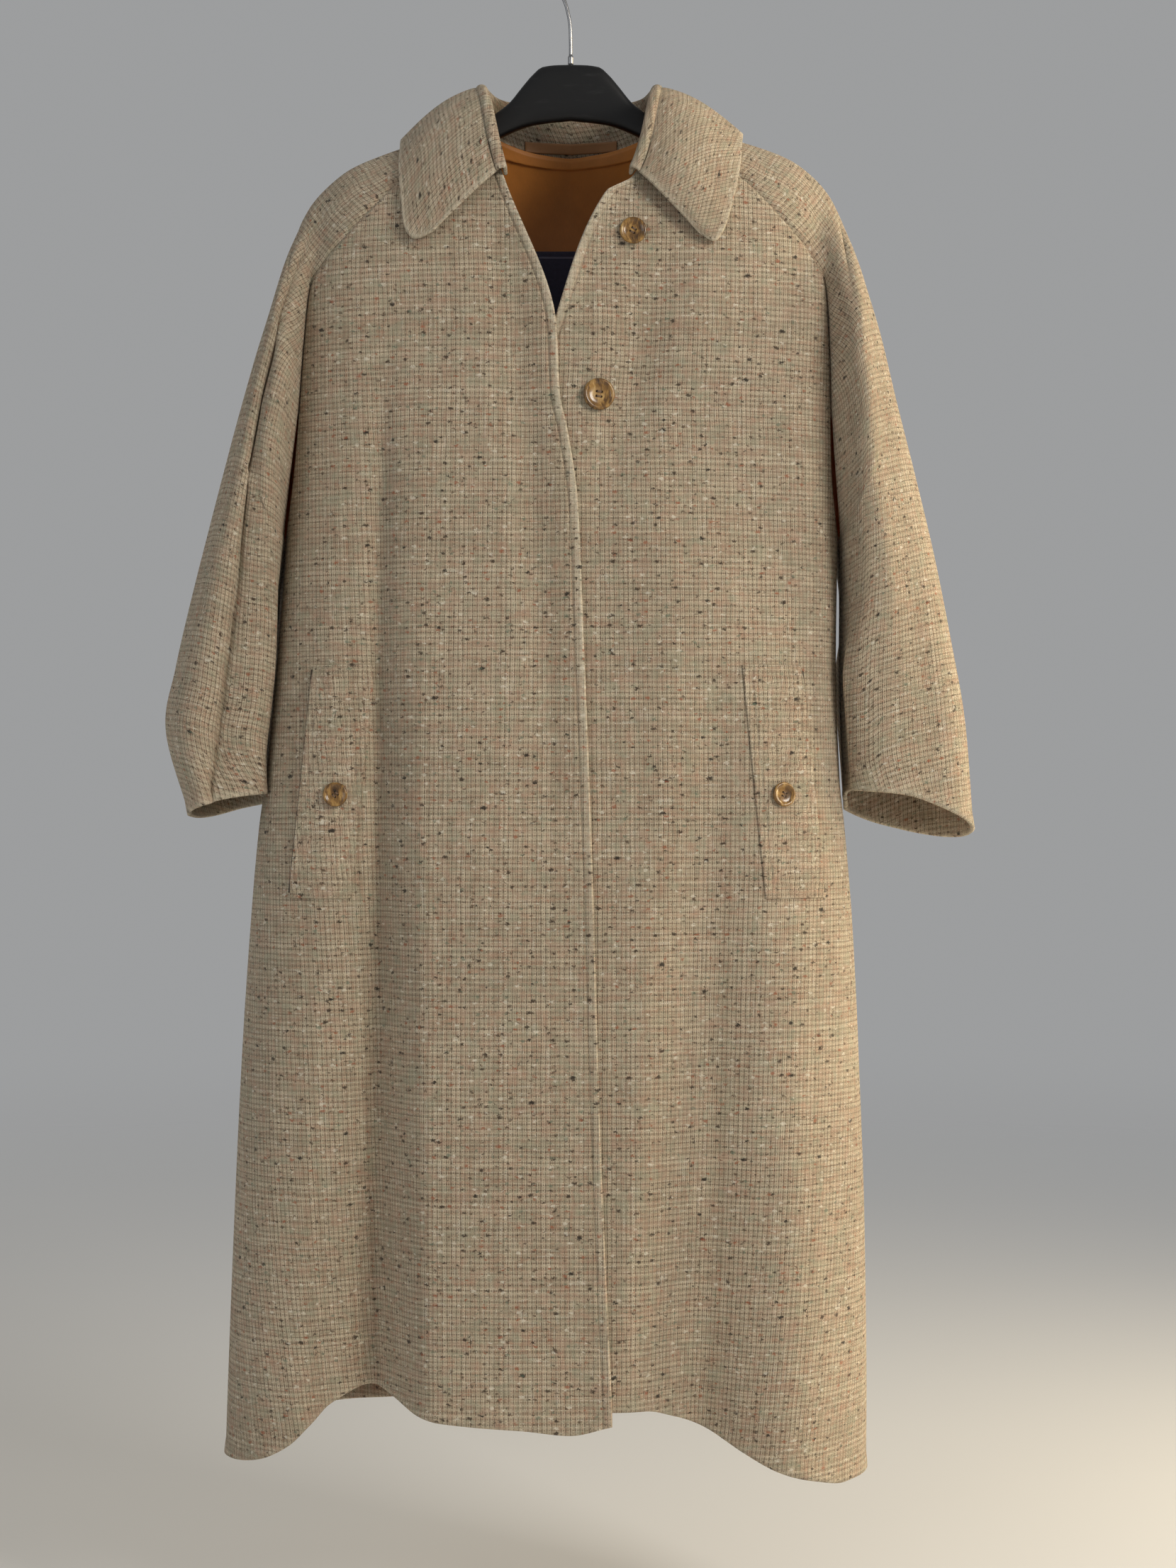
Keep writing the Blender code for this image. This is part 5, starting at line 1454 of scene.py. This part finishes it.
def button(name, place, looks, thread):
    """A turned four-hole button with a raised rim, and the thread that holds it."""
    radius = 0.5 * place["wide"]
    base, normal = front_surface(place["side"], place["x"], place["z"])
    solid_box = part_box(name)
    centre = (np.array(solid_box[0]) + np.array(solid_box[1])) * 0.5
    thick = BUTTON_THICK * radius
    start = centre - normal * BUTTON_SINK * thick
    start = start + normal * max(0.0, BUTTON_CLEAR - float(np.dot(start - base, normal)))
    across = unit(np.cross(normal, (0.0, 0.0, 1.0)))
    up = np.cross(across, normal)
    bm = bmesh.new()
    rings = []
    for wide, tall in zip(BUTTON_PROFILE["radius"], BUTTON_PROFILE["height"]):
        middle = start + normal * tall * thick
        if wide == 0.0:
            rings.append([bm.verts.new(middle)])
            continue
        rings.append([bm.verts.new(spot) for spot in circle(middle, across, up, wide * radius, BUTTON_SIDES)])
    for inner, outer in zip(rings[:-1], rings[1:]):
        for k in range(BUTTON_SIDES):
            j = (k + 1) % BUTTON_SIDES
            corners = [inner[k % len(inner)], inner[j % len(inner)]]
            corners += [outer[j % len(outer)], outer[k % len(outer)]]
            bm.faces.new(list(dict.fromkeys(corners)))
    bmesh.ops.recalc_face_normals(bm, faces=bm.faces)
    mesh = bpy.data.meshes.new(name)
    bm.to_mesh(mesh)
    bm.free()
    mesh.materials.append(looks)
    piece = bpy.data.objects.new(name + "_turned", mesh)
    bpy.context.collection.objects.link(piece)
    holes = []
    for k in range(4):
        turn = place["turn"] + math.pi * (0.25 + 0.5 * k)
        holes.append(start + (math.cos(turn) * across + math.sin(turn) * up) * HOLE_OUT * radius)
    bm = bmesh.new()
    for hole in holes:
        ends = []
        for tall in HOLE_REACH:
            rim = circle(hole + normal * tall * thick, across, up, HOLE_RADIUS * radius, HOLE_SIDES)
            ends.append([bm.verts.new(spot) for spot in rim])
        for k in range(HOLE_SIDES):
            j = (k + 1) % HOLE_SIDES
            bm.faces.new((ends[0][k], ends[0][j], ends[1][j], ends[1][k]))
        bm.faces.new(ends[0][::-1])
        bm.faces.new(ends[1])
    bmesh.ops.recalc_face_normals(bm, faces=bm.faces)
    drill_mesh = bpy.data.meshes.new("drill")
    bm.to_mesh(drill_mesh)
    bm.free()
    drill = bpy.data.objects.new("drill", drill_mesh)
    bpy.context.collection.objects.link(drill)
    cut = piece.modifiers.new("holes", "BOOLEAN")
    cut.operation = "DIFFERENCE"
    cut.object = drill
    bpy.context.view_layer.update()
    evaluated = piece.evaluated_get(bpy.context.evaluated_depsgraph_get())
    drilled = bpy.data.meshes.new_from_object(evaluated)
    piece.modifiers.clear()
    piece.data = drilled
    bpy.data.objects.remove(drill)
    drilled.polygons.foreach_set("use_smooth", np.ones(len(drilled.polygons), bool))
    drilled.set_sharp_from_angle(angle=SHARP_ANGLE)
    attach(piece, BODY_NAME)
    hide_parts(name)
    points, faces = [], []
    top = normal * thick * THREAD_UP
    for first, second in ((0, 1), (2, 3)):
        for shift in (-THREAD_APART, THREAD_APART):
            place_up = top + unit(holes[2] - holes[1]) * HOLE_RADIUS * radius * shift
            capsule(points, faces, holes[first] + place_up, holes[second] + place_up, normal, STITCH_THICK,
                    THREAD_SIDES)
    sewn = mesh_object(name + "_thread", points, faces, [thread])
    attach(sewn, BODY_NAME)


def loft(name, rings, looks):
    """A closed skin through rings of points."""
    count, sides = rings.shape[:2]
    points = rings.reshape(-1, 3)
    faces = []
    for k in range(count - 1):
        for s in range(sides):
            n = (s + 1) % sides
            faces.append((k * sides + s, k * sides + n, (k + 1) * sides + n, (k + 1) * sides + s))
    faces.append(tuple(range(sides))[::-1])
    faces.append(tuple((count - 1) * sides + s for s in range(sides)))
    piece = mesh_object(name, points, faces, looks)
    bm = bmesh.new()
    bm.from_mesh(piece.data)
    bmesh.ops.recalc_face_normals(bm, faces=bm.faces)
    bm.to_mesh(piece.data)
    bm.free()
    return piece


def hanger(look):
    rings = []
    spread = np.sin(0.5 * math.pi * np.linspace(-1.0, 1.0, HANGER_STATIONS))
    for part in spread:
        x = part * HANGER_END_X
        away = abs(x)
        outer = OUTER_LEFT if x < 0.0 else OUTER_RIGHT
        ridge = np.interp(away, np.abs(outer["x"][:RIDGE_ROWS]), outer["z"][:RIDGE_ROWS])
        arm_top = float(ridge) - HANGER_UNDER
        blend = float(ease((away - HANGER_BLEND_FROM) / HANGER_BLEND_WIDE))
        top = float(smooth(HUMP_TOP["x"], HUMP_TOP["z"], away)) * (1.0 - blend) + arm_top * blend
        under_hump = float(smooth(HUMP_UNDER["x"], HUMP_UNDER["z"], away))
        under = under_hump * (1.0 - blend) + (arm_top - HANGER_ARM_TALL) * blend
        past = max(0.0, (away - HANGER_END_X + HANGER_END_ROUND) / HANGER_END_ROUND)
        end = math.sqrt(max(1e-4, 1.0 - past ** 2))
        high = 0.5 * (top - under) * end
        thick = 0.5 * HANGER_THICK * end
        ring = []
        for s in range(HANGER_SIDES):
            turn = 2.0 * math.pi * s / HANGER_SIDES
            y = math.copysign(abs(math.cos(turn)) ** HANGER_ROUND, math.cos(turn)) * thick
            z = math.copysign(abs(math.sin(turn)) ** HANGER_ROUND, math.sin(turn)) * high
            ring.append((x, y, 0.5 * (top + under) + z))
        rings.append(ring)
    piece = loft("hanger_moulded", np.array(rings), [look])
    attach(piece, BODY_NAME)
    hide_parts("hanger_body")


def hook(look):
    middle_z = 0.5 * WIRE - HOOK_RADIUS
    path = [(x, 0.0, z) for x, z in zip(HOOK_STEM["x"], HOOK_STEM["z"])]
    for k in range(HOOK_STEPS + 1):
        turn = HOOK_TURN_START - HOOK_TIP_TURN * k / HOOK_STEPS
        path.append((HOOK_RADIUS * math.cos(turn), 0.0, middle_z + HOOK_RADIUS * math.sin(turn)))
    dense = through(path, np.linspace(0.0, len(path) - 1, 8 * HOOK_RINGS))
    line = spaced(dense, np.linspace(0.0, along_line(dense)[-1], HOOK_RINGS))
    ways = unit(np.gradient(line, axis=0))
    rings = []
    for k, (point, way) in enumerate(zip(line, ways)):
        across = np.cross((0.0, 1.0, 0.0), way)
        from_tip = (HOOK_RINGS - 1 - k) / HOOK_TIP_RINGS
        wide = math.sqrt(max(HOOK_TIP_LEAST, 1.0 - max(0.0, 1.0 - from_tip) ** 2))
        ferrule = 1.0 + FERRULE_MORE * (1.0 - float(ease((k - FERRULE_RINGS) / FERRULE_SOFT)))
        radius = 0.5 * WIRE * wide * ferrule
        rings.append(circle(point, across, np.array((0.0, 1.0, 0.0)), radius, HOOK_SIDES))
    piece = loft("hook_wire", np.array(rings), [look])
    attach(piece, BODY_NAME)
    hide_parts("hanger_hook")


def area_light(name, place, aim, size, power, colour):
    data = bpy.data.lights.new(name, "AREA")
    data.shape = "RECTANGLE"
    data.size, data.size_y = size
    data.energy = power
    data.color = colour
    lamp = bpy.data.objects.new(name, data)
    lamp.location = place
    lamp.rotation_euler = (Vector(aim) - Vector(place)).to_track_quat("-Z", "Y").to_euler()
    bpy.context.collection.objects.link(lamp)


# Camera, light and floor
camera_data = bpy.data.cameras.new("camera")
camera_data.lens = CAMERA_LENS
camera_data.sensor_width = CAMERA_SENSOR
camera = bpy.data.objects.new("camera", camera_data)
camera.location = CAMERA_PLACE
camera.rotation_euler = (math.radians(90.0), 0.0, 0.0)
bpy.context.collection.objects.link(camera)
scene = bpy.context.scene
scene.camera = camera
scene.view_settings.view_transform = "Standard"
world = bpy.data.worlds.new("studio")
world.use_nodes = True
sky = world.node_tree.nodes["Background"]
sky.inputs["Color"].default_value = SKY_COLOUR
sky.inputs["Strength"].default_value = SKY_STRENGTH
scene.world = world
for light in LIGHTS:
    area_light(**light)
bm = bmesh.new()
bmesh.ops.create_circle(bm, cap_ends=True, segments=96, radius=FLOOR_RADIUS)
floor_mesh = bpy.data.meshes.new("floor")
bm.to_mesh(floor_mesh)
bm.free()
floor_mesh.materials.append(floor_look())
floor = bpy.data.objects.new("floor", floor_mesh)
floor.location = (0.0, 0.0, FLOOR_Z)
bpy.context.collection.objects.link(floor)

# Materials
tweed = tweed_look()
lining_cloth = satin_look("lining", (0.600, 0.222, 0.038, 1.0), 0.40)
# The pocket satin is near black: painted shadow of the pocket openings beside the welts
pocket_shadow_cloth = satin_look("pocket", (0.040, 0.024, 0.014, 1.0), 0.60)
loop_cloth = satin_look("loop", (0.330, 0.150, 0.050, 1.0), 0.42)
label_cloth = label_look()
horn = horn_look()
plastic = plastic_look()
steel = steel_look()
cloth_thread = thread_look("cloth_thread", (0.52, 0.42, 0.29, 1.0), (0.30, 0.22, 0.14, 1.0))
button_thread = thread_look("button_thread", (0.22, 0.13, 0.07, 1.0), (0.10, 0.055, 0.03, 1.0))

# Cloth grids and their outward directions
left = front_grid("left")
right = front_grid("right")
back = back_grid()
sleeve_left, pressed_left = sleeve_grid("left")
sleeve_right, pressed_right = sleeve_grid("right")
collar = collar_grid()
left_out = grid_normals(left, True)
right_out = grid_normals(right, False)
back_out = grid_normals(back, False)
sleeve_left_out = grid_normals(sleeve_left, False)
sleeve_right_out = grid_normals(sleeve_right, True)
collar_out = grid_normals(collar, False)

shared_rows = TOP_ROWS - SEAM_FREE_ROWS
for front, front_out, arm_out, back_column in (
    (left, left_out, sleeve_left_out, 0),
    (right, right_out, sleeve_right_out, -1),
):
    share(front_out[:shared_rows, 0], arm_out[:shared_rows, 0])
    share(back_out[:shared_rows, back_column], arm_out[:shared_rows, -1])
    share(front_out[TOP_ROWS - 1:, 0], back_out[TOP_ROWS - 1:, back_column])
    share(arm_out[TOP_ROWS - 1:, 0], arm_out[TOP_ROWS - 1:, -1])
    draw_back(front, 0, SEAM_GAP)
for arm in (sleeve_left, sleeve_right):
    draw_back(arm, 0, SEAM_GAP)
    draw_back(arm, -1, SEAM_GAP)
draw_back(back, 0, SEAM_GAP)
draw_back(back, -1, SEAM_GAP)

# Fronts, with their folded and stitched edges
front_uv = {"left": level_uv(left, -1, 1.0), "right": level_uv(right, -1, -1.0)}
for name, side, grid, out in (
    ("front_right", "left", left, left_out),
    ("front_left", "right", right, right_out),
):
    from_edge = run_from(grid, 1, "last")
    from_seam = run_from(grid, 1, "first")
    from_hem = run_from(grid, 0, "last")
    relief = edge_relief(from_edge) + seam_relief(from_seam)
    relief = relief + hem_relief(from_hem)
    if side == "right":
        beyond_lap = ease((grid[:, :, 0] - LAP_RIGHT_X) / LAP_SWELL_SOFT)
        relief = relief * np.maximum(beyond_lap, ease((grid[:, :, 2] - VEE_FOOT) / LAP_SWELL_SOFT))
    inside = (from_edge > FACING_WIDE) & (from_hem > HEM_TURN)
    # Pale edge band: rubbed wear and painted highlight, wider on the right front's lit vee edge and stronger
    # higher up
    rubbed_and_lit = wear_and_highlight_edge(from_edge, WEAR_AND_HIGHLIGHT_WIDE if side == "left" else WEAR_AND_HIGHLIGHT_WIDE_UNDER)
    rubbed_and_lit = rubbed_and_lit * smooth(WEAR_AND_HIGHLIGHT_DOWN["z"], WEAR_AND_HIGHLIGHT_DOWN["part"], grid[:, :, 2])
    piece = shell(name + "_cloth", grid, out, WALL, relief, front_uv[side],
                  [tweed, lining_cloth], inside, (SEAM_BULGE, EDGE_BULGE, EDGE_BULGE, SEAM_BULGE),
                  np.maximum(rubbed_and_lit, wear_and_highlight_edge(from_hem) * WEAR_AND_HIGHLIGHT_HEM))
    line = level_line(grid, out, from_edge, STITCH_IN, WALL, relief)
    sewn = stitching(name + "_stitches", [line], cloth_thread)
    finish_cloth(piece, name)

# Back
from_seam = from_both(back, 1)
from_hem = run_from(back, 0, "last")
relief = seam_relief(from_seam) + hem_relief(from_hem)
piece = shell("back_cloth", back, back_out, WALL, relief, level_uv(back, BACK_COLUMNS // 2, 1.0),
              [tweed, lining_cloth], from_hem > HEM_TURN, (SEAM_BULGE, SEAM_BULGE, EDGE_BULGE, SEAM_BULGE),
              wear_and_highlight_edge(from_hem) * WEAR_AND_HIGHLIGHT_HEM)
finish_cloth(piece, "back")

# Sleeves
for name, grid, out, pressed, mirror in (
    ("sleeve_right", sleeve_left, sleeve_left_out, pressed_left, False),
    ("sleeve_left", sleeve_right, sleeve_right_out, pressed_right, True),
):
    from_seam = from_both(grid, 1)
    from_hem = run_from(grid, 0, "last")
    relief = pressed + seam_relief(from_seam) + hem_relief(from_hem)
    piece = shell(name + "_cloth", grid, out, WALL, relief, grain_uv(grid, grid.shape[1] // 2, mirror),
                  [tweed, lining_cloth], from_hem > CUFF_TURN,
                  (SEAM_BULGE, SEAM_BULGE, EDGE_BULGE, SEAM_BULGE), wear_and_highlight_edge(from_hem) * WEAR_AND_HIGHLIGHT_CUFF)
    finish_cloth(piece, name)

# Collar
from_edge = np.minimum(run_from(collar, 1, "last"), from_both(collar, 0))
on_leaf = ease((run_from(collar, 1, "first") - LEAF_FROM) / LEAF_SOFT)
relief = edge_relief(from_edge) * on_leaf
collar_piece = shell("collar_cloth", collar, collar_out, COLLAR_WALL, relief,
                     grain_uv(collar, 0, False)[..., ::-1], [tweed], np.zeros(relief.shape),
                     (EDGE_BULGE, EDGE_BULGE, EDGE_BULGE, SEAM_BULGE), wear_and_highlight_edge(from_edge))
leaf_line = level_line(collar, collar_out, run_from(collar, 1, "last"), STITCH_IN, COLLAR_WALL, relief)
sewn = stitching("collar_stitches", [leaf_line], cloth_thread)
finish_cloth(collar_piece, "collar")

# Pocket welts and the dark strips beside them, painted shadow of the pocket openings
for name, side, carrier in (
    ("pocket_welt_right", "left", "front_right"),
    ("pocket_welt_left", "right", "front_left"),
):
    grid, out = welt_grid(side)
    relief = edge_relief(np.minimum(from_both(grid, 1), from_both(grid, 0))) * WELT_RELIEF
    uv = matched_uv(grid, left if side == "left" else right, front_uv[side])
    piece = shell(name + "_cloth", grid, out, WELT_WALL, relief, uv, [tweed], np.zeros(relief.shape),
                  THIN_BULGE["welt"])
    finish_cloth(piece, name)
    # Near-black strip beside the opening edge: painted shadow of the pocket's opening
    grid, out = mouth_shadow_grid(side)
    uv = np.stack((run_from(grid, 1, "first"), -run_from(grid, 0, "first")), axis=-1)
    level = np.zeros(grid.shape[:2])
    piece = shell(name + "_mouth", grid, out, MOUTH_SHADOW_WALL, level, uv, [pocket_shadow_cloth], level,
                  THIN_BULGE["mouth_shadow"])
    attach(piece, BODY_NAME)

# Buttons
for name, place in BUTTONS.items():
    button(name, place, horn, button_thread)

# Inside of the back neck
lining_rows = int(np.searchsorted(raglan_places, LINING_LAST_ROW)) + 1
margin = int(LINING_MARGIN * BACK_COLUMNS)
kept = slice(margin, BACK_COLUMNS - margin)
lining_in = 0.5 * WALL + LINING_GAP + 0.5 * LINING_WALL
lining_base = back[:lining_rows, kept] - back_out[:lining_rows, kept] * lining_in
behind = np.flatnonzero(collar[:, 0, 1] > 0.0)
foot = collar[behind, 0] - collar_out[behind, 1] * (0.5 * COLLAR_WALL + LIP_CLEAR + 0.5 * LINING_WALL)
foot = np.column_stack([np.interp(lining_base[0, :, 0], foot[:, 0], foot[:, k]) for k in range(3)])
beyond = np.pad(foot, ((LIP_SOFT_COLUMNS, LIP_SOFT_COLUMNS), (0, 0)), mode="reflect", reflect_type="odd")
weights = np.hanning(2 * LIP_SOFT_COLUMNS + 3)[1:-1]
foot = np.column_stack([np.convolve(beyond[:, k], weights / weights.sum(), "valid") for k in range(3)])
lining_base = np.concatenate(([foot + np.array((0.0, 0.0, LIP_UP))], lining_base[1:]))
lining_columns = []
for column in range(lining_base.shape[1]):
    line = lining_base[:, column]
    fine = np.linspace(0.0, LIP_FINE, LIP_ROWS)
    coarse = np.linspace(LIP_FINE, along_line(line)[-1], lining_rows)
    lining_columns.append(spaced(line, np.concatenate((fine, coarse[1:]))))
lining_points = np.stack(lining_columns, axis=1)
inwards = grid_normals(lining_points, True)
down = run_from(lining_points, 0, "first")
lift = LIP_TOP_SHARE + (1.0 - LIP_TOP_SHARE) * ease(down / LIP_TOP_EASE)
above = np.linalg.norm(lining_base[1] - lining_base[0], axis=1)
lift = lift * LIP_HIGH * (1.0 - ease((down - LIP_DOWN - (above - above.min())) / LIP_STEP))
lining_points = lining_points + inwards * lift[:, :, None]
level = np.zeros(down.shape)
lining = shell("back_lining_cloth", lining_points, inwards, LINING_WALL, level,
               grain_uv(lining_points, lining_points.shape[1] // 2, False), [lining_cloth], level,
               THIN_BULGE["lining"])
finish_cloth(lining, "back_lining")
strip("label_cloth", surface_of(lining), LABEL, label_cloth, "label")
strip("loop_cloth", surface_of(collar_piece), LOOP, loop_cloth, "hanging_loop")

# Hanger and hook
hanger(plastic)
hook(steel)
